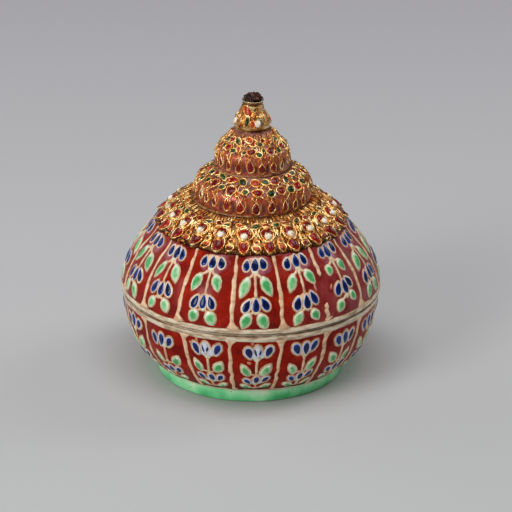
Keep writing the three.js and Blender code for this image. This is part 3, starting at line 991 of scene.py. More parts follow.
def bowl_shell():
    """The bowl: red outside, green foot ring, white inside, dry foot edge and lip."""
    lip_outer = lip_radius()
    lip_inner = lip_outer - LIP_THICKNESS
    foot_inner = FOOT_RADIUS - FOOT_RING_WIDTH
    floor_top = RECESS_DEPTH + FLOOR_THICKNESS
    length = BOWL_SURFACE.reach[-1]
    inner = [BOWL_SURFACE.beside(length * i / 40, -BOWL_WALL) for i in range(40, 0, -1)]
    inner = [p for p in inner if floor_top + 1 < p.y < SEAM_HEIGHT - 1 and p.x < lip_inner]
    under = rounded(
        flat((0, RECESS_DEPTH), (foot_inner, RECESS_DEPTH), (foot_inner, 0), (FOOT_RADIUS, 0)), {1, 2}
    )
    lip = rounded(
        flat(
            (RIM_RADIUS - EDGE_ROUND, SEAM_HEIGHT),
            (lip_outer, SEAM_HEIGHT),
            (lip_outer, LIP_TOP),
            (lip_inner, LIP_TOP),
            (lip_inner, SEAM_HEIGHT - 1),
        ),
        {2, 3},
    )
    floor_edge, floor_middle = flat((inner[-1].x - BOWL_WALL, floor_top), (0, floor_top))
    floor = rounded([inner[-1], floor_edge, floor_middle], {1}, 1.5)
    regions = [
        Region(under[:-1], BARE_FACE),
        on_surface(BOWL_SURFACE, 0.3, FOOT_GLAZE_TOP, 14, GREEN_FACE),
        on_surface(BOWL_SURFACE, FOOT_GLAZE_TOP + 0.3, length - 1.5, 60, RED_FACE),
        on_surface(BOWL_SURFACE, length - 1.3, length - 0.3, 3, CREAM_FACE),
        Region(lip, BARE_FACE),
        Region(inner, WHITE_FACE),
        Region(floor[1:], WHITE_FACE),
    ]
    return turn_profile(regions, TURN_STEPS, False)


def lid_shell():
    """The lid: red outside, white inside, a dry seat where it rests on the bowl."""
    inner_radius = lip_radius() + LIP_CLEARANCE
    length = LID_SURFACE.reach[-1]
    ceiling = DOME_TOP - LID_WALL
    inner = [LID_SURFACE.beside(length * i / 40, -LID_WALL) for i in range(40)]
    inner = [p for p in inner if LIP_TOP + 1 < p.y < ceiling - 0.02 and p.x > 7][::-1]
    regions = [
        Region(flat((inner_radius, LID_BASE), (LID_RADIUS - EDGE_ROUND, LID_BASE)), BARE_FACE),
        on_surface(LID_SURFACE, 0.25, 1.3, 3, CREAM_FACE),
        on_surface(LID_SURFACE, 1.5, LID_DECORATED, 70, RED_FACE),
        on_surface(LID_SURFACE, LID_DECORATED + 1, length - HOLE_RADIUS - 1, 12, WHITE_FACE),
        Region(
            flat(
                (HOLE_RADIUS, DOME_TOP),
                (HOLE_RADIUS, ceiling),
                (6.3, ceiling),
                *inner,
                (inner_radius, LIP_TOP),
            ),
            WHITE_FACE,
        ),
    ]
    return turn_profile(regions, TURN_STEPS, True)


# A panel's spray is two three-petalled flowers, one above the other, with two leaves at each. The
# places are millimetres across from the spray's middle, at the rim's scale, and along the
# surface's line.
# A spray's first field holds the painted mauve reflections round its upper flowers
Spray = namedtuple("Spray", "films petals leaves fans calyxes stalks stem")
LID_SPRAY = Spray(
    films=(Drop(0.0, 22.3, 7.2, 4.1, 0, 0, 0.25),),
    petals=(
        Drop(-3.5, 22.9, 1.4, 1.9, 16, 0.7, 0.3),
        Drop(0.0, 23.1, 1.5, 2.15, 0, 0.7, 0.3),
        Drop(3.4, 23.4, 1.42, 2.0, -24, 0.7, 0.3),
        Drop(-3.1, 9.6, 1.22, 2.25, 22, 0.75, 0.3),
        Drop(0.1, 9.9, 1.2, 2.35, 0, 0.75, 0.3),
        Drop(3.2, 10.2, 1.22, 2.2, -27, 0.75, 0.3),
    ),
    leaves=(
        Drop(-4.1, 15.7, 1.6, 3.7, 25, 0.8, 0.95),
        Drop(4.2, 15.9, 1.65, 3.6, -26, 0.8, 0.95),
        Drop(-3.1, 4.9, 1.5, 2.6, 30, 0.8, 0.8),
        Drop(2.6, 4.9, 1.6, 2.7, -28, 0.8, 0.8),
    ),
    fans=(Drop(0.0, 23.8, 4.4, 2.1, 0, 0, 0.2), Drop(0.1, 10.6, 3.3, 2.1, 0, 0.5, 0)),
    calyxes=(Drop(0.0, 20.5, 1.5, 1.15, 0, 0, 0.3), Drop(0.1, 7.5, 1.2, 0.9, 0, 0, 0.2)),
    stalks=((0.5, 20.2, 0.62), (0.5, 20.2, 0.62), (0.5, 7.6, 0.5), (0.5, 7.6, 0.5)),
    stem=((0.0, 20.4), (0.1, 16.0), (0.1, 12.2)),
)
BOWL_SPRAY = Spray(
    films=(),
    petals=(
        Drop(-3.1, 26.6, 1.15, 2.0, -18, 0.3, 0.6),
        Drop(0.2, 26.7, 1.15, 2.3, 2, 0.3, 0.6),
        Drop(3.5, 26.8, 1.15, 2.0, 24, 0.3, 0.6),
        Drop(-3.0, 13.6, 0.95, 1.7, -36, 0.3, 0.6),
        Drop(0.1, 14.4, 1.05, 1.75, 0, 0.3, 0.5),
        Drop(3.3, 14.6, 0.95, 1.75, 34, 0.3, 0.6),
    ),
    leaves=(
        Drop(-3.7, 19.5, 1.15, 2.9, -28, 0.95, 0.7),
        Drop(3.5, 19.5, 1.45, 3.0, 32, 0.95, 0.7),
        Drop(-3.8, 9.8, 0.95, 2.0, -58, 0.3, 0.5),
        Drop(3.8, 10.0, 0.95, 2.0, 58, 0.3, 0.5),
    ),
    fans=(Drop(0.2, 25.6, 3.9, 2.0, 0, 0, 0.5), Drop(0.1, 12.9, 3.4, 1.5, 0, 0, 0.5)),
    calyxes=(Drop(0.2, 23.9, 1.2, 0.9), Drop(0.0, 11.8, 1.2, 0.8)),
    stalks=((0.2, 17.2, 0.4), (0.2, 17.0, 0.4), (0.2, 8.6, 0.4), (0.2, 8.6, 0.4)),
    stem=((0.2, 23.9), (0.1, 18.0), (0.0, 8.4)),
)

# The sprays that show, from the left: the angle of the spray's middle, the places of its petals,
# and the places of its leaves with their half widths and half lengths
Seen = namedtuple("Seen", "angle petals leaves worn", defaults=((),))
LID_SEEN = (
    Seen(
        -45.5,
        ((-3.7, 23.0), (0.0, 23.2), (3.0, 23.1), (-3.0, 10.0), (0.3, 10.2), (3.3, 10.6)),
        ((-4.0, 15.8, 1.2, 3.6), (4.0, 16.2, 1.6, 3.4), (-2.5, 4.9, 1.5, 2.2), (3.7, 5.4, 1.6, 2.3)),
    ),
    Seen(
        -21.4,
        ((-3.7, 23.0), (0.0, 23.0), (3.9, 23.1), (-3.2, 9.3), (-0.3, 9.7), (2.6, 9.7)),
        ((-4.5, 15.6, 1.6, 3.2), (3.5, 16.4, 1.75, 3.2), (-3.0, 4.9, 1.6, 2.1), (3.0, 4.8, 1.8, 2.4)),
    ),
    Seen(
        2.4,
        ((-3.5, 22.8), (0.0, 23.1), (3.3, 23.4), (-3.0, 9.5), (0.1, 9.8), (3.2, 10.2)),
        ((-4.0, 15.6, 1.65, 4.0), (4.2, 15.8, 1.7, 3.8), (-3.2, 4.8, 1.5, 2.7), (2.4, 4.8, 1.6, 2.8)),
    ),
    Seen(
        25.9,
        ((-4.1, 22.8), (-0.2, 23.3), (3.5, 23.5), (-3.0, 9.2), (0.3, 9.5), (3.2, 10.3)),
        ((-3.9, 16.1, 1.6, 3.3), (3.9, 17.2, 1.65, 3.0), (-3.4, 4.6, 1.5, 2.6), (2.8, 4.9, 1.4, 1.9)),
    ),
    Seen(
        48.3,
        ((-3.5, 23.8), (-0.3, 23.6), (3.8, 24.1), (-2.7, 10.7), (0.6, 10.8), (3.2, 11.6)),
        ((-3.6, 17.4, 1.6, 1.8), (3.6, 17.6, 1.6, 2.3), (-3.3, 5.3, 1.5, 2.1), (3.0, 7.0, 1.1, 2.1)),
    ),
)
BOWL_SEEN = (
    Seen(
        -42.2,
        ((-4.1, 25.4), (-0.8, 25.8), (2.6, 25.8), (-2.6, 12.6), (0.2, 13.4), (3.4, 13.6)),
        ((-3.4, 18.2, 1.0, 2.4), (4.4, 18.8, 1.5, 2.2), (-3.6, 9.0, 0.9, 1.9), (3.6, 9.2, 0.9, 1.9)),
    ),
    Seen(
        -19.4,
        ((-3.7, 26.4), (-0.4, 27.0), (3.7, 27.0), (-3.3, 14.2), (0.5, 14.4), (3.7, 14.4)),
        ((-3.7, 19.7, 1.1, 2.5), (3.8, 19.8, 1.5, 2.4), (-3.8, 9.8, 0.9, 2.0), (3.8, 9.9, 0.9, 2.0)),
        (1,),
    ),
    Seen(
        2.9,
        ((-2.4, 26.4), (0.4, 26.8), (4.1, 26.9), (-3.1, 13.5), (0.1, 14.4), (3.4, 14.6)),
        ((-3.8, 19.3, 1.2, 2.6), (3.4, 19.2, 1.6, 2.8), (-3.8, 9.8, 0.9, 2.0), (3.8, 10.0, 0.9, 2.0)),
        (1,),
    ),
    Seen(
        24.8,
        ((-2.8, 26.7), (0.5, 26.5), (3.5, 26.9), (-3.0, 13.6), (0.1, 14.4), (3.3, 14.8)),
        ((-3.7, 18.8, 1.1, 2.4), (3.2, 19.6, 1.15, 2.8), (-3.7, 9.8, 0.9, 2.0), (3.7, 10.0, 0.9, 2.0)),
    ),
    Seen(
        46.0,
        ((-2.2, 26.0), (1.0, 26.2), (4.1, 26.2), (-2.9, 13.6), (0.2, 14.0), (3.0, 14.4)),
        ((-3.4, 19.5, 1.25, 2.6), (3.2, 18.8, 1.05, 2.4), (-3.5, 9.6, 0.9, 2.0), (3.5, 9.8, 0.9, 2.0)),
    ),
)

LID_OUTLINE = 0.58  # width of the pale outlines
BOWL_OUTLINE = 0.8
OUTLINE_HEIGHT = 0.2
BEAD_BASE = 0.16
BEAD_HEIGHT = 0.24
LINE_HEIGHT = 0.3


def painted(drops, places, hand):
    """The drops of a spray as strokes of the painter's hand, at their places where these are
    known and strayed a little from the pattern where not."""
    stray = 0.05 if places else 0.16
    result = []
    for i, drop in enumerate(drops):
        if places:
            drop = drop._replace(**dict(zip(("across", "along", "half_width", "half_length"), places[i])))
        result.append(
            drop._replace(
                across=drop.across + hand.gauss(0, stray),
                along=drop.along + hand.gauss(0, stray),
                half_width=drop.half_width * hand.uniform(0.93, 1.07),
                half_length=drop.half_length * hand.uniform(0.94, 1.06),
                lean=drop.lean + hand.gauss(0, 3.5),
            )
        )
    return result


def lay_spray(laid, surface, middle, spray, petals, leaves, worn, outline, hand):
    """One panel's spray: pale grounds and outlines, the beads of enamel in them, and the stem."""
    # Painted mauve reflection round the upper flowers
    for film in spray.films:
        strayed = film._replace(across=hand.uniform(-1.2, 1.2), lean=hand.gauss(0, 8))
        lay_drop(laid["film"], surface, middle, strayed, 0.07, sides=28, rings=16)
    for fan in spray.fans:
        ground = "halo" if worn else "line"
        lay_drop(laid[ground], surface, middle, fan, OUTLINE_HEIGHT * 0.6, tint=hand.random())
    for calyx in spray.calyxes:
        lay_drop(laid["leaf_halo"], surface, middle, calyx, OUTLINE_HEIGHT, tint=hand.random())
    for i, drop in enumerate(petals):
        tint = hand.random()
        lay_drop(laid["line"], surface, middle, drop, OUTLINE_HEIGHT * 0.8, grow=outline + 0.25, tint=tint)
        lay_drop(laid["halo"], surface, middle, drop, OUTLINE_HEIGHT, grow=outline * 0.85, tint=tint)
        if i not in worn:
            lay_drop(laid["cobalt"], surface, middle, drop, BEAD_HEIGHT, base=BEAD_BASE, tint=tint)
            continue
        lay_drop(laid["halo"], surface, middle, drop, BEAD_HEIGHT, base=BEAD_BASE, tint=0.95)
        for side, length in ((-1, 0.5), (1, 0.35)):
            across = drop.across + side * drop.half_width * 0.62
            stroke = Drop(across, drop.along - 0.2, 0.42, drop.half_length * length * 1.3, side * 14)
            lay_drop(laid["cobalt"], surface, middle, stroke, BEAD_HEIGHT * 1.7, base=BEAD_BASE, tint=0)
    for drop, (side, start, width) in zip(leaves, spray.stalks):
        tint = hand.random()
        lay_drop(laid["leaf_halo"], surface, middle, drop, OUTLINE_HEIGHT, grow=outline, tint=tint)
        lay_drop(laid["green"], surface, middle, drop, BEAD_HEIGHT, base=BEAD_BASE, tint=tint)
        near = drop_point(drop, 0, math.copysign(0.75, start - drop.along))
        root = (math.copysign(side, drop.across), start)
        path = [
            (root[0] + (near[0] - root[0]) * t, root[1] + (near[1] - root[1]) * t, 1.1 - 0.35 * t)
            for t in (0, 0.25, 0.5, 0.75, 1)
        ]
        lay_wire(laid["line"], surface, middle, path, width, OUTLINE_HEIGHT)
    points = [Vector((*point, 0)) for point in spray.stem]
    path = [(p.x + hand.gauss(0, 0.05), p.y, 1 + hand.gauss(0, 0.12)) for p in smooth_line(points, 10)]
    lay_wire(laid["line"], surface, middle, path, 0.58, OUTLINE_HEIGHT)


def lay_divider(mesh, surface, low, middle, high, start, end, flare, hand, half_width=0.84):
    """A raised dividing line up the porcelain, wavering and swelling like a trailed line."""
    points = [Vector((low, start, 0)), Vector((middle, (start + end) / 2, 0)), Vector((high, end, 0))]
    steps = 36
    swell = [hand.uniform(0.7, 1.3) for _ in range(steps // 3 + 2)]
    sway = [hand.gauss(0, 0.16) for _ in range(steps // 3 + 2)]
    path = []
    for i, p in enumerate(smooth_line(points, steps)):
        stop = i // 3
        share = 0.5 - 0.5 * math.cos(math.pi * (i / 3 - stop))
        width = swell[stop] + (swell[stop + 1] - swell[stop]) * share
        width *= 1.12 - 0.3 * i / steps
        aside = sway[stop] + (sway[stop + 1] - sway[stop]) * share
        width += flare[0] * max(0, 1 - i / 4) ** 2 + flare[1] * max(0, 1 - (steps - i) / 4) ** 2
        path.append((p.x * surface.scale + aside, p.y, width))
    lay_wire(mesh, surface, 0, path, half_width, LINE_HEIGHT, sides=8)


def split_divider(mesh, surface, low, middle, high, start, end, gap, flare, hand):
    """A dividing line whose middle was painted over or lost."""
    first, second = gap
    lay_divider(mesh, surface, low, low, low + 0.3 * (middle - low), start, first, (flare[0], -0.6), hand)
    lay_divider(mesh, surface, middle, middle, high, second, end, (-0.5, flare[1]), hand)


def waver(hand, shift, swell, waves):
    """A slow random waver round the jar: sideways shift in millimetres and width share."""
    terms = [(n, hand.uniform(0, 2 * math.pi), hand.uniform(0.5, 1)) for n in waves]

    def wave(angle):
        value = sum(weight * math.sin(n * angle + phase) for n, phase, weight in terms) / len(terms)
        other = sum(weight * math.cos(n * angle - phase) for n, phase, weight in terms) / len(terms)
        return shift * value, 1 + swell * other

    return wave


def decorate(name, surface, dividers, spray, seen, outline, span, flare, gap, seed):
    """Everything painted in relief on one half of the porcelain."""
    hand = random.Random(seed)
    finishes = {
        # The mauve sheen pieces are painted reflection
        "film": ("mauve_films", PAINTED_SHEEN),
        "halo": ("petal_outlines", PETAL_HALO),
        "leaf_halo": ("leaf_outlines", LEAF_HALO),
        "cobalt": ("blue_petals", COBALT),
        "green": ("green_leaves", LEAF_GREEN),
        "line": ("dividing_lines", CREAM),
    }
    meshes = {kind: new_mesh() for kind in finishes}
    low, middle, high = dividers
    for i, centre in enumerate(between(middle)):
        laid = {kind: new_mesh() for kind in finishes}
        known = seen[i] if i < len(seen) else Seen(math.degrees(centre), (), (), ())
        petals = painted(spray.petals, known.petals, hand)
        leaves = painted(spray.leaves, known.leaves, hand)
        spot = math.radians(known.angle)
        lay_spray(laid, surface, spot, spray, petals, leaves, known.worn, outline, hand)
        line = (laid["line"], surface, low[i], middle[i], high[i], *span)
        if gap and gap[0] == i:
            split_divider(*line, gap[1], flare, hand)
        else:
            lay_divider(*line, flare, hand)
        gather(meshes, laid)
    for kind, (title, material) in finishes.items():
        if len(meshes[kind].verts):
            finish_piece(f"{name}_{title}", meshes[kind], name, [material])
        else:
            meshes[kind].free()


def round_band(name, body, surface, middle, half_width, height, waves, material):
    """One band all round the porcelain, as a piece of its own."""
    mesh = new_mesh()
    lay_round_band(mesh, surface, middle, half_width, height, waves, TURN_STEPS)
    finish_piece(name, mesh, body, [material])


SEAM_SHADOW_PACE = 2.6  # how quickly the seam's painted shadow thickens and thins round the jar
SEAM_SHADOW_THICKEST = 5.4  # angle in radians where it is thickest, left of the front
SEAM_SHADOW_CRUMBS = 19  # small swellings round the jar


def seam_wave(angle):
    """The seam's painted shadow: thick at the left and the right of the front, thin between."""
    bout = math.cos(SEAM_SHADOW_PACE * (angle % (2 * math.pi) - SEAM_SHADOW_THICKEST))
    return 0, 0.5 + 0.3 * bout + 0.16 * math.sin(SEAM_SHADOW_CRUMBS * angle)


def bands():
    """The worn white rims on both sides of the seam, a band of painted shadow in it, and the stained
    and the cream line above the foot."""
    hand = random.Random(31)
    top = BOWL_SURFACE.reach[-1]
    wave = waver(hand, 0.2, 0.16, (3, 7, 13, 29))
    round_band("lid_rim_band", "lid", LID_SURFACE, 1.0, 0.95, 0.34, wave, SEAM_CREAM)
    wave = waver(hand, 0.16, 0.14, (2, 5, 11, 23))
    round_band("bowl_rim_band", "bowl", BOWL_SURFACE, top - 1.0, 1.1, 0.3, wave, SEAM_CREAM)
    # A dark band of painted shadow in the seam
    round_band("seam_grime", "lid", LID_SURFACE, 0.34, 0.31, 0.26, seam_wave, SEAM_SHADOW)
    wave = waver(hand, 0.7, 0.5, (5, 11, 19, 31))
    round_band("foot_stained_line", "bowl", BOWL_SURFACE, 7.2, 0.5, 0.22, wave, STAIN)
    wave = waver(hand, 0.5, 0.35, (4, 9, 16, 27, 41))
    round_band("foot_line", "bowl", BOWL_SURFACE, 6.1, 0.85, 0.24, wave, CREAM)


# Flaked spots on the lid's right and on the bowl's front, each at degrees from the front
LID_CHIPS = (
    (32.2, Drop(0, 13.4, 0.4, 1.7, -6)),
    (41.2, Drop(0, 12.0, 0.35, 1.1, 32)),
)
BOWL_CHIPS = (
    (-27.0, Drop(0, 28.1, 0.8, 0.55, 20)),
    (-24.0, Drop(0, 30.0, 1.4, 0.5, 80)),
    (1.1, Drop(0, 30.2, 0.5, 0.9, 10)),
    (-0.3, Drop(0, 22.5, 0.8, 0.6, 30)),
)


def chips(body, surface, spots):
    """The flaked spots of one half of the porcelain."""
    mesh = new_mesh()
    for angle, drop in spots:
        lay_drop(mesh, surface, math.radians(angle), drop, 0.1)
    finish_piece(f"{body}_flaked_spots", mesh, body, [CHIP])


finish_piece("bowl_porcelain", bowl_shell(), "bowl", BOWL_FINISHES, ["jar_bowl"])
finish_piece("lid_porcelain", lid_shell(), "lid", LID_FINISHES, ["lid_dome"])
decorate(
    "lid",
    LID_SURFACE,
    LID_DIVIDERS,
    LID_SPRAY,
    LID_SEEN,
    LID_OUTLINE,
    (1.6, 28.5),
    (2.4, 0),
    (4, (7.4, 16.2)),
    11,
)
decorate(
    "bowl",
    BOWL_SURFACE,
    BOWL_DIVIDERS,
    BOWL_SPRAY,
    BOWL_SEEN,
    BOWL_OUTLINE,
    (6.4, BOWL_SURFACE.reach[-1] - 1.6),
    (0.8, 2.2),
    None,
    12,
)
bands()
chips("lid", LID_SURFACE, LID_CHIPS)
chips("bowl", BOWL_SURFACE, BOWL_CHIPS)


# Gold finial


def skirt_line():
    """The lid's line raised by the skirt's own height, from its edge to the shelf."""
    rise = shares_line(
        SKIRT_RISE_SHARES[::-1],
        60,
        lambda across, up, furrow: (
            across * SKIRT_RADIUS,
            SKIRT_EDGE + up * (SKIRT_RISE - SKIRT_EDGE),
            furrow,
        ),
    )
    furrows = [Vector((p.x, p.z)) for p in rise]
    steps = 48
    edge = SKIRT_RADIUS + SKIRT_OVERHANG
    radii = [edge - (edge - SHELF_RADIUS) * i / steps for i in range(steps + 1)]
    return [
        Vector((r, read_line(LID_LINE, r) + SEAT_GAP + read_line(rise, r), read_line(furrows, r)))
        for r in radii
    ]


def stone_places(prefix):
    """Angle from the front and name of each CAD stone whose name starts so, by angle."""
    places = []
    for node in frame["nodes"]:
        if node.startswith(prefix):
            low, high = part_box(node)
            middle = (low + high) / 2
            places.append((math.atan2(middle.x, -middle.y), node))
    return sorted(places)


SKIRT_STONES = stone_places("skirt_stone_")
KNOB_STONES = stone_places("knob_stone_")
LARGE_PETALS = [angle for angle, _ in SKIRT_STONES]
SMALL_PETALS = between(LARGE_PETALS)


def petal_wave(angle):
    """1 on a large petal, -1 on a small one, and in between beside them."""
    return math.cos(len(LARGE_PETALS) * (angle - LARGE_PETALS[0]))


def skirt_draw_in(angle):
    """How far the skirt's edge is drawn in: a furrow beside each petal, the small ones set back."""
    wave = petal_wave(angle)
    return SKIRT_FURROW * (1 - abs(wave)) + BUD_SETBACK * (1 - wave) / 2


SKIRT_SURFACE = TurnedSurface(skirt_line(), SKIRT_RADIUS, skirt_draw_in)


def shadow_band_wave(angle):
    """How far the painted shadow band below the skirt reaches out, a little further under each petal."""
    return -0.28 * petal_wave(angle), 1 + 0.12 * math.cos(5 * angle + 1)


# Cells that show, from the left: degrees from the front, millimetres along the tier's line, kind,
# half width, half length and lean
SKIRT_CELLS = (
    (-62, 10.0, "emerald", 1.2, 0.65, 10),
    (-53, 9.8, "ruby", 1.3, 0.6, -10),
    (-44, 9.9, "ruby", 1.3, 0.6, 12),
    (-35, 9.6, "emerald", 1.2, 0.6, -8),
    (-25.5, 9.9, "ruby", 1.1, 0.65, 15),
    (-19, 9.7, "emerald", 1.1, 0.6, 0),
    (-8, 9.8, "orange", 1.5, 0.55, 5),
    (3.8, 9.7, "emerald", 1.4, 0.65, -6),
    (12, 9.9, "ruby", 1.1, 0.6, 10),
    (20, 9.8, "emerald", 1.2, 0.65, -10),
    (28, 9.7, "ruby", 1.3, 0.6, 8),
    (38, 9.9, "emerald", 1.2, 0.6, -12),
    (48, 9.8, "ruby", 1.3, 0.65, 10),
    (59, 9.8, "emerald", 1.2, 0.6, 0),
)
MIDDLE_LOWER_CELLS = (
    (-63, 9.2, "emerald", 0.9, 0.8, 0),
    (-49.9, 9.4, "ruby", 1.5, 1.25, -10),
    (-36.9, 8.8, "emerald", 0.85, 0.8, 15),
    (-24.6, 8.3, "ruby", 1.35, 1.35, 0),
    (-16.6, 7.4, "orange", 0.65, 0.5, 10),
    (-8.3, 8.2, "emerald", 0.75, 0.75, 0),
    (5.1, 8.0, "ruby", 1.4, 1.0, 0),
    (19.5, 7.6, "emerald", 1.1, 0.8, -15),
    (31.6, 8.1, "ruby", 1.25, 1.15, 0),
    (43.9, 7.7, "emerald", 1.15, 0.9, -20),
    (55.2, 7.8, "ruby", 1.35, 0.9, -20),
    (67, 8.2, "emerald", 1.0, 0.8, 0),
)
MIDDLE_UPPER_CELLS = (
    (-60.3, 12.9, "ruby", 0.95, 0.55, 0),
    (-45.7, 12.6, "emerald", 1.5, 0.6, 12),
    (-29.6, 12.4, "ruby", 1.7, 0.8, -8),
    (-13.5, 12.2, "emerald", 1.0, 1.05, 20),
    (2.7, 11.9, "orange", 1.15, 0.95, 10),
    (16.0, 12.1, "emerald", 1.0, 0.8, 0),
    (30.9, 12.2, "ruby", 1.4, 0.95, -10),
    (47.2, 11.8, "emerald", 1.2, 0.85, -25),
    (56.0, 12.2, "orange", 0.8, 0.7, 0),
    (65.0, 12.4, "emerald", 1.2, 0.7, 0),
)
UPPER_LOWER_CELLS = (
    (-65, 8.4, "emerald", 0.8, 0.7, 0),
    (-51.8, 8.6, "ruby", 1.15, 0.85, 0),
    (-37.2, 8.0, "emerald", 0.75, 0.65, 0),
    (-27.5, 8.8, "orange", 0.5, 1.2, -15),
    (-14.5, 7.8, "emerald", 0.55, 0.5, 0),
    (-1.5, 8.2, "ruby", 1.35, 0.8, 0),
    (11.5, 7.2, "emerald", 0.7, 0.6, 0),
    (20.5, 8.6, "emerald", 0.5, 0.55, 0),
    (35.1, 8.2, "ruby", 1.35, 0.95, -12),
    (52.1, 7.6, "emerald", 0.85, 0.65, 0),
    (67, 8.3, "ruby", 1.0, 0.8, 0),
)
UPPER_UPPER_CELLS = (
    (-54, 11.6, "ruby", 0.8, 0.6, 0),
    (-34, 11.4, "emerald", 1.15, 0.65, 25),
    (-21, 11.6, "ruby", 0.45, 0.95, 0),
    (-8.8, 12.4, "orange", 0.95, 0.8, 0),
    (1.5, 11.5, "orange", 1.0, 0.9, 0),
    (14.8, 10.9, "emerald", 1.05, 0.5, 0),
    (25, 12.0, "ruby", 0.6, 0.6, 20),
    (37, 11.5, "orange", 1.15, 0.75, 0),
    (50, 12.0, "orange", 0.5, 0.5, 0),
    (60, 11.5, "emerald", 1.3, 0.75, 0),
)

# Teardrops that show: degrees from the front, millimetres along, half width, half length, lean
MIDDLE_TEARS = (
    (-61, 4.0, 0.5, 1.2, -15),
    (-51.4, 3.8, 0.65, 1.45, -12),
    (-40.2, 3.5, 0.6, 1.4, -8),
    (-25.9, 3.3, 0.8, 1.6, -5),
    (-12.3, 3.0, 1.0, 1.6, 0),
    (3.2, 2.8, 0.95, 1.75, 0),
    (18.6, 2.9, 0.9, 1.5, 6),
    (32.5, 2.6, 0.75, 1.6, 4),
    (44.8, 2.3, 0.7, 1.4, 8),
    (56.5, 2.6, 0.7, 1.4, 8),
)
UPPER_TEARS = (
    (-57, 3.0, 0.6, 1.3, -8),
    (-39, 2.8, 0.6, 1.3, -6),
    (-21.8, 2.5, 0.7, 1.4, 0),
    (-3.1, 3.4, 0.9, 1.9, -10),
    (14.8, 2.5, 0.95, 1.3, 0),
    (34.3, 2.5, 0.95, 1.4, 3),
    (51.5, 2.4, 0.6, 1.3, 6),
)
MIDDLE_TEAR_COUNT, UPPER_TEAR_COUNT = 26, 20
SKIRT_CELL_COUNT = 38
MIDDLE_LOWER_COUNT, MIDDLE_UPPER_COUNT = 30, 26
UPPER_LOWER_COUNT, UPPER_UPPER_COUNT = 28, 26
SKIRT_FLAKES, MIDDLE_FLAKES, UPPER_FLAKES, KNOB_FLAKES = 240, 150, 100, 14
SKIRT_STEPS, TIER_STEPS, SOLDER_STEPS, KNOB_STEPS, COLLAR_STEPS = 352, 208, 160, 96, 64
ROOT_COUNT = 130  # chased gold strokes round the skirt's inner edge
TIP_COUNT = 104  # chased gold strokes round its under-edge


def all_round(seen, count, hand):
    """The cells that show, each with its angle in radians, and more of the same behind."""
    angles = around([cell[0] for cell in seen], count)
    cells = []
    for i, angle in enumerate(angles):
        pattern = seen[i % len(seen)]
        aside = 0 if i < len(seen) else hand.gauss(0, 0.02)
        cells.append((angle + aside, *pattern[1:]))
    return cells


def tier_surface(shares, radius, low, high, tears, depth, aside=0.0):
    """A tier's outside, drawn in between its petals."""
    line = shares_line(
        shares,
        90,
        lambda across, up, furrow: (across * radius, low + up * (high - low), furrow),
    )
    return TurnedSurface(line, radius, lobes(between(tears), depth), 0.1, 2.5, aside)


TIER_FURROW = 0.75  # depth between the petals of the middle and upper tier
MIDDLE_TEAR_ANGLES = around([tear[0] for tear in MIDDLE_TEARS], MIDDLE_TEAR_COUNT)
UPPER_TEAR_ANGLES = around([tear[0] for tear in UPPER_TEARS], UPPER_TEAR_COUNT)
MIDDLE_SURFACE = tier_surface(
    MIDDLE_SHARES, MIDDLE_RADIUS, MIDDLE_LOW, MIDDLE_HIGH, MIDDLE_TEAR_ANGLES, TIER_FURROW, MIDDLE_ASIDE
)
UPPER_SURFACE = tier_surface(
    UPPER_SHARES, UPPER_RADIUS, UPPER_LOW, UPPER_HIGH, UPPER_TEAR_ANGLES, TIER_FURROW, UPPER_ASIDE
)
KNOB_LOBE_COUNT = 8
KNOB_LOBE_DEPTH = 0.3
KNOB_LOBES = [math.radians(18 + 360 / KNOB_LOBE_COUNT * i) for i in range(KNOB_LOBE_COUNT)]
KNOB_SURFACE = tier_surface(
    KNOB_SHARES, KNOB_RADIUS, KNOB_LOW, KNOB_HIGH, KNOB_LOBES, KNOB_LOBE_DEPTH, KNOB_ASIDE
)


# What the gold finial's pieces are called and made of, by the kind of shape laid
FINIAL_FINISHES = {
    "plate": ("gold_petals", CHASED_GOLD),
    "wire": ("gold_rims", WIRE_GOLD),
    "ruby": ("red_cells", RUBY),
    "orange": ("orange_cells", ORANGE),
    "emerald": ("green_cells", EMERALD),
}


def finial_meshes():
    """An empty mesh for each kind of shape on the finial."""
    return {kind: new_mesh() for kind in FINIAL_FINISHES}


def each_laid(items, meshes):
    """Each item with empty meshes for its shapes, which are gathered when it is done."""
    for item in items:
        laid = finial_meshes()
        yield item, laid
        gather(meshes, laid)


def finish_finial(name, meshes):
    """Makes a piece of each kind of shape that a tier or the knob has."""
    for kind, mesh in meshes.items():
        title, material = FINIAL_FINISHES[kind]
        if len(mesh.verts):
            finish_piece(f"{name}_{title}", mesh, "lid", [material])
        else:
            mesh.free()


def lay_cell(meshes, surface, angle, drop, kind, hand, wire=0.2, height=0.42, fill=0.3):
    """A cell of enamel inside a bent gold wire, on a low mound of gold."""
    drawn = drop._replace(
        half_width=drop.half_width * hand.uniform(0.94, 1.06),
        half_length=drop.half_length * hand.uniform(0.94, 1.06),
        lean=drop.lean + hand.gauss(0, 4),
    )
    path = outline_path(drawn, 12, wire, hand)
    lay_wire(
        meshes["wire"], surface, angle, path, wire, height, closed=True, sides=5, tint=hand.random()
    )
    lay_drop(meshes[kind], surface, angle, drawn, fill, base=0.08, grow=0.08, tint=hand.random(), sides=10)
    lay_drop(meshes["plate"], surface, angle, drawn, 0.2, grow=0.6, sides=10, rings=4)


def lay_link(mesh, surface, start, end, half_width, height, hand):
    """A raised gold line between two places on a surface, each an angle and a distance."""
    turn = (end[0] - start[0] + math.pi) % (2 * math.pi) - math.pi
    bend = hand.gauss(0, 0.15)
    path = []
    for i in range(5):
        share = i / 4
        aside = turn * surface.scale * share + bend * math.sin(math.pi * share)
        path.append((aside, start[1] + (end[1] - start[1]) * share, hand.uniform(0.7, 1.25)))
    lay_wire(mesh, surface, start[0], path, half_width, height, sides=5)


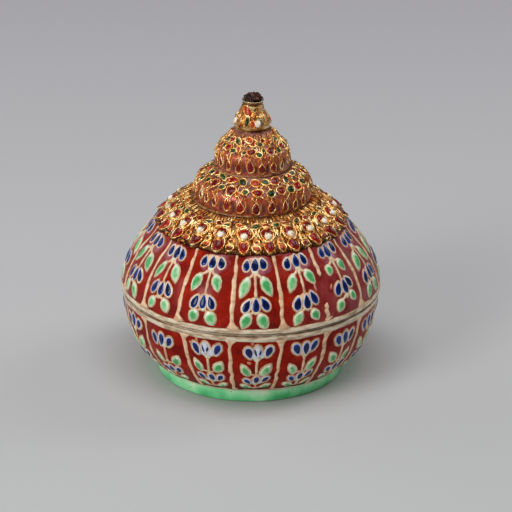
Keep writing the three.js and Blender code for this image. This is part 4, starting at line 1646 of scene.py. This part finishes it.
def lay_flakes(meshes, surface, count, low, high, reach, hand, lean):
    """Small curls and points of gold scattered between the cells."""
    for _ in range(count):
        angle = hand.uniform(0, 2 * math.pi)
        size = hand.uniform(0.14, 0.34)
        along, long = hand.uniform(low, high), size * hand.uniform(1.2, reach)
        flake = Drop(0, along, size, long, hand.uniform(-lean, lean))
        kind = "wire" if hand.random() < 0.4 else "plate"
        lay_drop(meshes[kind], surface, angle, flake, hand.uniform(0.15, 0.45), sides=6, rings=4)


def nearest(angles, angle, side):
    """The first of the angles met from a given one towards its right (1) or left (-1)."""
    return angle + side * min((side * (other - angle)) % (2 * math.pi) for other in angles)


# Radii in millimetres at which the skirt's underside follows the lid
UNDERSIDE_RADII = (8, 13, 17, 20, 22.5, 24.5, 26.5, 28.2, 29.4, 30.4)


def skirt():
    """Lowest tier: a dark edge and a band of painted shadow under it, broken by chased strokes, large
    and small gold petals, a row of cells above them, and chased strokes round its inner edge."""
    hand = random.Random(41)
    length = SKIRT_SURFACE.reach[-1]
    base = [
        # The edge region takes the dark gold as painted shade under the petals
        on_surface(SKIRT_SURFACE, -0.7, 2.0, 8, 1),
        on_surface(SKIRT_SURFACE, 2.2, length, 28, 0),
        Region(flat((HOLE_RADIUS, SKIRT_TOP), (HOLE_RADIUS, DOME_TOP + SEAT_GAP)), 0),
        Region([Vector((r, read_line(LID_LINE, r) + SEAT_GAP)) for r in UNDERSIDE_RADII], 1),
    ]
    shell = turn_profile(base, SKIRT_STEPS, True, -0.3)
    finish_piece(
        "skirt_base", shell, "lid", [TARNISHED_TAN, SHADE_DARK_GOLD], ["mount_skirt"]
    )
    # A dark band of painted shadow on the lid under the skirt's edge
    under = new_mesh()
    ledge = next(reach for reach, p in zip(LID_SURFACE.reach, LID_LINE) if p.x < SKIRT_RADIUS - 0.4)
    lay_round_band(under, LID_SURFACE, ledge, 1.1, 1.1, shadow_band_wave, SKIRT_STEPS)
    finish_piece("skirt_under_rim", under, "lid", [SHADE_DARK_GOLD])
    meshes = finial_meshes()
    laid = finial_meshes()
    for i in range(TIP_COUNT):
        angle = 2 * math.pi * (i + hand.uniform(-0.3, 0.3)) / TIP_COUNT
        along, wide = ledge + hand.uniform(-0.5, 0.3), hand.uniform(0.3, 0.55)
        tip = Drop(0, along, wide, hand.uniform(0.6, 1), hand.gauss(0, 14))
        lay_drop(laid["plate"], LID_SURFACE, angle, tip, hand.uniform(1.15, 1.4), sides=8, rings=4)
    gather(meshes, laid)
    for angle, laid in each_laid(LARGE_PETALS, meshes):
        petal = Drop(hand.gauss(0, 0.1), 4.2, 2.9, 4.7, hand.gauss(0, 2), 0.2, 0.4)
        lay_drop(laid["plate"], SKIRT_SURFACE, angle, petal, 0.45, base=-0.3, tint=hand.random())
        ring = Drop(hand.gauss(0, 0.08), 6.7, 2.3, 2.05, hand.gauss(0, 5))
        arch = outline_path(ring, 14, 0.75, hand)
        lay_wire(laid["wire"], SKIRT_SURFACE, angle, arch, 0.32, 0.6, closed=True, sides=5)
        lay_cell(laid, SKIRT_SURFACE, angle, ring, "ruby", hand, wire=0.2, height=0.6, fill=0.46)
        tear = Drop(
            hand.gauss(0, 0.1),
            hand.uniform(2.15, 2.4),
            hand.uniform(1.6, 2.0),
            hand.uniform(1.9, 2.3),
            hand.gauss(0, 6),
            hand.uniform(0.1, 0.5),
            hand.uniform(0.2, 0.7),
        )
        lay_cell(laid, SKIRT_SURFACE, angle, tear, "ruby", hand, wire=0.24, height=0.62, fill=0.56)
        collet = outline_path(Drop(0, COLLET_ALONG, 1.45, 1.2), 12, 0, hand)
        lay_wire(laid["wire"], SKIRT_SURFACE, angle, collet, 0.14, 0.75, closed=True, sides=5)
    for angle, laid in each_laid(SMALL_PETALS, meshes):
        petal = Drop(hand.gauss(0, 0.1), 2.9, 1.7, 3.1, hand.gauss(0, 3), 0.3, 0.4)
        lay_drop(laid["plate"], SKIRT_SURFACE, angle, petal, 0.45, base=-0.1, tint=hand.random())
        bud = Drop(hand.gauss(0, 0.1), 3.7 + hand.gauss(0, 0.15), 0.7, 0.6)
        lay_cell(laid, SKIRT_SURFACE, angle, bud, "emerald", hand, wire=0.34, height=0.6)
        dot = hand.choice(("orange", "ruby"))
        foot = Drop(hand.gauss(0, 0.12), 1.45, 1.2, 1.0, hand.gauss(0, 8))
        lay_cell(laid, SKIRT_SURFACE, angle, foot, dot, hand, wire=0.28, height=0.55)
        for side in (-1, 1):
            ridge = nearest(LARGE_PETALS, angle, side)
            end = (angle + 0.42 * (ridge - angle), 9.4)
            lay_link(laid["wire"], SKIRT_SURFACE, (angle, 4.9), end, 0.3, 0.7, hand)
        for aside in (-2.3, -1.2, 1.2, 2.3):
            across, along = aside + hand.gauss(0, 0.12), hand.uniform(0.2, 0.6)
            tip = Drop(across, along, 0.34, hand.uniform(0.8, 1.3), 6 * aside, 0.4)
            lay_drop(laid["plate"], SKIRT_SURFACE, angle, tip, 0.35, sides=8, rings=4)
        leaf = Drop(hand.gauss(0, 0.2), 7.4, 0.75, 1.7, hand.gauss(0, 12), 0.6, 0.6)
        lay_drop(laid["wire"], SKIRT_SURFACE, angle, leaf, 0.55, sides=8, rings=4)
    for place, laid in each_laid(all_round(SKIRT_CELLS, SKIRT_CELL_COUNT, hand), meshes):
        angle, along, kind, half_width, half_length, lean = place
        cell = Drop(0, along, half_width * 1.35, half_length * 1.15, lean, 0.3, 0.3)
        lay_cell(laid, SKIRT_SURFACE, angle, cell, kind, hand, wire=0.26, height=0.5)
    laid = finial_meshes()
    lay_flakes(laid, SKIRT_SURFACE, SKIRT_FLAKES, 6.5, 11.6, 4.2, hand, 35)
    for i in range(ROOT_COUNT):
        angle = 2 * math.pi * (i + hand.uniform(-0.3, 0.3)) / ROOT_COUNT
        along = length + hand.uniform(-1.3, 0.5)
        root = Drop(0, along, hand.uniform(0.3, 0.6), hand.uniform(1.2, 2.2), hand.gauss(0, 8), 0.5)
        kind = hand.choice(("plate", "plate", "wire"))
        lay_drop(laid[kind], SKIRT_SURFACE, angle, root, 0.24, sides=8, rings=4)
    gather(meshes, laid)
    finish_finial("skirt", meshes)


def tier(name, node, surface, low, high, tears, lower_row, upper_row, flakes, seed):
    """A tier: a thin shell whose sides carry teardrops and whose shoulder carries rows of cells,
    with bent gold lines from each teardrop up to the cells beside it."""
    hand = random.Random(seed)
    length = surface.reach[-1]
    top = surface.beside(length, 0)
    foot = surface.beside(0, 0).x
    inner = [surface.beside(length * i / 12, -SHEET) for i in range(11, 0, -1)]
    inner = [p for p in inner if low + 0.5 < p.y < high - SHEET - 0.3]
    regions = [
        on_surface(surface, 0, length, 60, 0),
        Region(flat((top.x - 0.2, high), (HOLE_RADIUS, high), (HOLE_RADIUS, high - SHEET)), 1),
        Region([Vector((inner[0].x - 0.2, high - SHEET)), *inner, surface.beside(0, -SHEET)], 1),
    ]
    shell = turn_profile(regions, TIER_STEPS, True)
    finish_piece(
        f"{name}_shell", shell, "lid", [TIER_GROUND, TARNISHED_TAN], [node]
    )
    under, over = low - 0.28, low + 0.3
    seam = flat((foot - 0.8, under), (foot + 0.5, under), (foot + 0.15, over), (foot - 0.8, over))
    seam_ring = turn_profile([Region(rounded(seam, {1, 2}, 0.2), 0)], SOLDER_STEPS, True)
    finish_piece(f"{name}_soldered_seam", seam_ring, "lid", [TARNISHED_TAN])
    meshes = finial_meshes()
    lower_angles = [cell[0] for cell in lower_row]
    upper_angles = [cell[0] for cell in upper_row]
    for place, laid in each_laid(tears, meshes):
        angle, along, half_width, half_length, lean = place
        tear = Drop(0, along, half_width * 1.12, half_length * 1.08, lean, 0.8, 0.1)
        path = outline_path(tear, 12, 0.22, hand)
        lay_wire(laid["wire"], surface, angle, path, 0.24, 0.4, closed=True, sides=5)
        arch = Drop(0, along + 1.5, half_width * 1.9, half_length * 1.95, lean, 0.6, 0.15)
        path = outline_path(arch, 14, 0, hand)
        lay_wire(laid["plate"], surface, angle, path, 0.17, 0.3, closed=True, sides=5)
        lay_drop(laid["ruby"], surface, angle, tear, 0.28, grow=0.05, tint=hand.random())
        tip = along + half_length
        for side in (-1, 1):
            cell = nearest(lower_angles, angle, side)
            end = angle + (cell - angle) * hand.uniform(0.4, 0.8)
            lay_link(laid["wire"], surface, (angle, tip), (end, hand.uniform(6.4, 7.2)), 0.2, 0.36, hand)
    for place, laid in each_laid(lower_row, meshes):
        angle, along, kind, half_width, half_length, lean = place
        cell = Drop(0, along, half_width * 1.3, half_length * 1.22, lean, 0.2, 0.4)
        lay_cell(laid, surface, angle, cell, kind, hand, wire=0.26, height=0.48)
        for side in (-1, 1):
            other = nearest(upper_angles, angle, side)
            end = angle + (other - angle) * 0.55
            lay_link(laid["wire"], surface, (angle, along + half_length), (end, 10.9), 0.2, 0.36, hand)
    for place, laid in each_laid(upper_row, meshes):
        angle, along, kind, half_width, half_length, lean = place
        widen = surface.scale / surface.section(along)[0].x
        cell = Drop(0, along, half_width * widen * 1.22, half_length * 1.2, lean, 0.4, 0.2)
        lay_cell(laid, surface, angle, cell, kind, hand, wire=0.26, height=0.48)
        for turn in (-0.06, 0.07):
            lay_link(
                laid["plate"],
                surface,
                (angle + turn, along + half_length * 0.8),
                (angle + turn * 1.1, length - hand.uniform(0.1, 0.9)),
                0.2,
                0.25,
                hand,
            )
    laid = finial_meshes()
    lay_flakes(laid, surface, flakes, 5.8, 13.4, 3.0, hand, 80)
    gather(meshes, laid)
    finish_finial(name, meshes)


COLLET_ALONG = 5.95  # from the skirt's edge to the middle of its stones, along its line
SKIRT_STONE_RADIUS = 27.2  # of the ring on which they stand


def stones(places, surface, drop, height, base):
    """Low domed stones in their seats, all alike."""
    for angle, node in places:
        mesh = new_mesh()
        lay_drop(mesh, surface, angle, drop, height, base=base, sides=20, rings=12)
        finish_piece(f"{node}_polished", mesh, "lid", [STONE], [node])


PLAIN_FROM, PLAIN_TO = 1.2, 2.4  # angles in radians between which the knob has fewer marks


def knob():
    """The bell-shaped knob with its enamelled marks."""
    hand = random.Random(53)
    length = KNOB_SURFACE.reach[-1]
    regions = [
        Region(flat((0, KNOB_LOW), (KNOB_RADIUS * 0.8, KNOB_LOW)), 0),
        on_surface(KNOB_SURFACE, 0, length, 40, 0),
        Region(flat((KNOB_RADIUS * 0.4, KNOB_HIGH), (0, KNOB_HIGH)), 0),
    ]
    shell = turn_profile(regions, KNOB_STEPS, False)
    finish_piece("knob_body", shell, "lid", [SMOOTH_GOLD], ["knob"])
    meshes = finial_meshes()
    marks = (
        (-36, "emerald", Drop(0, 3.8, 0.7, 1.7, 0, 0.3, 0.3)),
        (-17, "orange", Drop(0, 2.9, 0.95, 1.2)),
        (-42, "orange", Drop(0, 7.2, 3.0, 1.35, 24, 0.4, 0.2)),
        (-4, "emerald", Drop(0, 7.7, 0.8, 0.55, -20)),
    )
    facets = (
        (8, "wire", Drop(0, 5.0, 1.4, 0.8, 12)),
        (34, "plate", Drop(0, 4.2, 1.3, 2.6, -8, 0.4)),
        (20, "plate", Drop(0, 7.4, 1.8, 1.2, 20)),
        (-58, "wire", Drop(0, 4.4, 1.0, 2.4, 6, 0.4)),
        (-14, "plate", Drop(0, 5.9, 1.5, 1.0, 30)),
    )
    for (stone, _), laid in each_laid(KNOB_STONES, meshes):
        for offset, kind, drop in marks:
            if offset < -30 and PLAIN_FROM < stone < PLAIN_TO:
                continue  # plain gold shows at the knob's right
            angle = stone + math.radians(offset)
            lay_cell(laid, KNOB_SURFACE, angle, drop, kind, hand, wire=0.2, height=0.32)
        for offset, kind, drop in facets:
            lay_drop(laid[kind], KNOB_SURFACE, stone + math.radians(offset), drop, 0.3)
        collet = outline_path(Drop(0, 3.0, 1.25, 1.25), 12, 0, hand)
        lay_wire(laid["wire"], KNOB_SURFACE, stone, collet, 0.18, 0.35, closed=True, sides=5)
    laid = finial_meshes()
    lay_flakes(laid, KNOB_SURFACE, KNOB_FLAKES, 1.4, 8.2, 4.0, hand, 80)
    gather(meshes, laid)
    finish_finial("knob", meshes)


def collar():
    """The empty setting on top: a thin pale lip over a darker neck."""
    inner = COLLAR_RADIUS - COLLAR_WALL
    lip_low = COLLAR_HIGH - 0.5
    neck = Region(flat((inner, COLLAR_LOW), (COLLAR_RADIUS - 0.35, COLLAR_LOW)), 1)
    lip = rounded(
        flat(
            (COLLAR_RADIUS - 0.35, lip_low),
            (COLLAR_RADIUS, lip_low + 0.15),
            (COLLAR_RADIUS, COLLAR_HIGH),
            (inner, COLLAR_HIGH),
        ),
        {1, 2},
        0.12,
    )
    ring = turn_profile([neck, Region(lip, 0)], COLLAR_STEPS, True)
    bmesh.ops.translate(ring, verts=ring.verts, vec=(COLLAR_ASIDE * MM, 0, 0))
    finish_piece("collar_ring", ring, "lid", [PALE_GOLD, TARNISHED_TAN], ["knob_collar"])


BED_JAGGEDNESS = 0.34  # how far the broken surface strays, as a share of its size
BED_GRAIN = 3.1  # how fine its breaks are


def setting_bed():
    """The broken lump of resin that once held a top stone."""
    mesh = new_mesh()
    lump = bmesh.ops.create_icosphere(mesh, subdivisions=4, radius=1)["verts"]
    middle = Vector((BED_ASIDE * MM, 0, (BED_LOW + BED_HIGH) / 2 * MM))
    half_height = (BED_HIGH - BED_LOW) / 2
    for vert in lump:
        direction = vert.co.copy()
        rough = 1 + BED_JAGGEDNESS * noise.fractal(direction * BED_GRAIN, 1, 2, 4) - 0.14
        width = (COLLAR_RADIUS - 0.05) * (0.84 if direction.z < 0 else 1 - 0.44 * direction.z)
        out = Vector((direction.x * width, direction.y * width, direction.z * half_height))
        vert.co = middle + out * rough * MM
    finish_piece("broken_setting", mesh, "lid", [RESIN], ["setting_bed"])


skirt()
placing = random.Random(60)
tier(
    "middle_tier",
    "tier_middle",
    MIDDLE_SURFACE,
    MIDDLE_LOW,
    MIDDLE_HIGH,
    all_round(MIDDLE_TEARS, MIDDLE_TEAR_COUNT, random.Random(0)),
    all_round(MIDDLE_LOWER_CELLS, MIDDLE_LOWER_COUNT, placing),
    all_round(MIDDLE_UPPER_CELLS, MIDDLE_UPPER_COUNT, placing),
    MIDDLE_FLAKES,
    61,
)
tier(
    "upper_tier",
    "tier_upper",
    UPPER_SURFACE,
    UPPER_LOW,
    UPPER_HIGH,
    all_round(UPPER_TEARS, UPPER_TEAR_COUNT, random.Random(0)),
    all_round(UPPER_LOWER_CELLS, UPPER_LOWER_COUNT, placing),
    all_round(UPPER_UPPER_CELLS, UPPER_UPPER_COUNT, placing),
    UPPER_FLAKES,
    62,
)
knob()
collar()
setting_bed()
skirt_stone = Drop(0, COLLET_ALONG, 1.14 * SKIRT_RADIUS / SKIRT_STONE_RADIUS, 1.08)
stones(SKIRT_STONES, SKIRT_SURFACE, skirt_stone, 0.6, 0.5)
stones(KNOB_STONES, KNOB_SURFACE, Drop(0, 3.0, 1.14, 1.14), 0.5, 0.1)
for fixing in ("finial_stud", "stud_washer", "stud_nut"):
    node = frame["nodes"][fixing]
    node.data.materials.clear()
    node.data.materials.append(DULL_BRASS)


# Studio


def studio_floor():
    """A wide sheet of pale grey paper, painted a little darker towards the back as the light falls off."""
    material, tree, shader, place = start_material(
        "grey_studio_paper", {"Roughness": 0.8, "Specular IOR Level": 0.2}
    )
    # Painted falloff of light: the paper's colour darkens a little towards the back
    painted_falloff = remap(tree, along_axis(tree, place, "Y"), -0.12, 0.42)
    stops = [(0.0, "#C3C4C4"), (0.45, "#C6C6C8"), (1.0, "#C2C0C5")]
    tree.links.new(shades(tree, painted_falloff, stops), shader.inputs["Base Color"])
    give_bump(tree, shader, mottle(tree, place, 0.6, 3), 0.02, 0.2)
    mesh = bmesh.new()
    bmesh.ops.create_grid(mesh, x_segments=8, y_segments=8, size=4)
    data = bpy.data.meshes.new("studio_paper")
    mesh.to_mesh(data)
    mesh.free()
    data.materials.append(material)
    floor = bpy.data.objects.new("studio_paper", data)
    bpy.context.scene.collection.objects.link(floor)


def softbox(name, place, aim, width, height, power, shade="#FFFFFF"):
    """A rectangular soft light turned towards a point."""
    light = bpy.data.lights.new(name, "AREA")
    light.shape = "RECTANGLE"
    light.size = width
    light.size_y = height
    light.energy = power
    light.color = colour(shade)[:3]
    lamp = bpy.data.objects.new(name, light)
    lamp.location = place
    lamp.rotation_euler = (Vector(aim) - Vector(place)).to_track_quat("-Z", "Y").to_euler()
    bpy.context.scene.collection.objects.link(lamp)


CAMERA_ELEVATION = math.radians(23.12)
CAMERA_DISTANCE = 0.9
CAMERA_TARGET_HEIGHT = 39.0 * MM
CAMERA_LENS = 188.8
CAMERA_SIDE = 1.7 * MM
CAMERA_ROLL = math.radians(0.45)


def camera():
    """The photograph's viewpoint: from a little above, far away with a long lens."""
    data = bpy.data.cameras.new("camera")
    data.lens = CAMERA_LENS
    data.clip_start = 0.05
    data.clip_end = 20
    holder = bpy.data.objects.new("camera", data)
    back = Vector((0, -math.cos(CAMERA_ELEVATION), math.sin(CAMERA_ELEVATION)))
    holder.location = Vector((CAMERA_SIDE, 0, CAMERA_TARGET_HEIGHT)) + back * CAMERA_DISTANCE
    level = (-back).to_track_quat("-Z", "Y").to_matrix().to_4x4()
    holder.rotation_euler = (level @ Matrix.Rotation(CAMERA_ROLL, 4, "Z")).to_euler()
    bpy.context.scene.collection.objects.link(holder)
    bpy.context.scene.camera = holder


def world():
    """Soft grey light from all round, brightest near the horizon and towards the window on the left."""
    surroundings = bpy.data.worlds.new("studio_surroundings")
    surroundings.use_nodes = True
    tree = surroundings.node_tree
    tree.nodes.clear()
    way = add(tree, "ShaderNodeTexCoord").outputs["Generated"]
    glow = remap(tree, along_axis(tree, way, "Z"), 0.0, 0.4, 0.47, 0.22)
    side = remap(tree, along_axis(tree, way, "X"), -1, 1, 1.2, 0.76)
    strength = combine(tree, "MULTIPLY", glow, side)
    sky = add(tree, "ShaderNodeBackground", {"Color": colour("#DADADD"), "Strength": strength})
    add(tree, "ShaderNodeOutputWorld", {"Surface": sky.outputs["Background"]})
    bpy.context.scene.world = surroundings


studio_floor()
softbox("overhead_softbox", (-0.02, -0.24, 1.1), (0, 0, 0.03), 1.0, 0.6, 6.15)
softbox("left_softbox", (-0.82, -0.8, 0.56), (0, 0, 0.04), 0.5, 0.6, 6.3)
softbox("left_reflector", (-1.0, 0.5, 0.5), (0, 0, 0.05), 0.7, 0.7, 1.6)
softbox("right_reflector", (0.9, 0.38, 0.76), (0, 0, 0.06), 0.55, 0.55, 2.75)
camera()
world()
bpy.context.scene.view_settings.view_transform = "Standard"
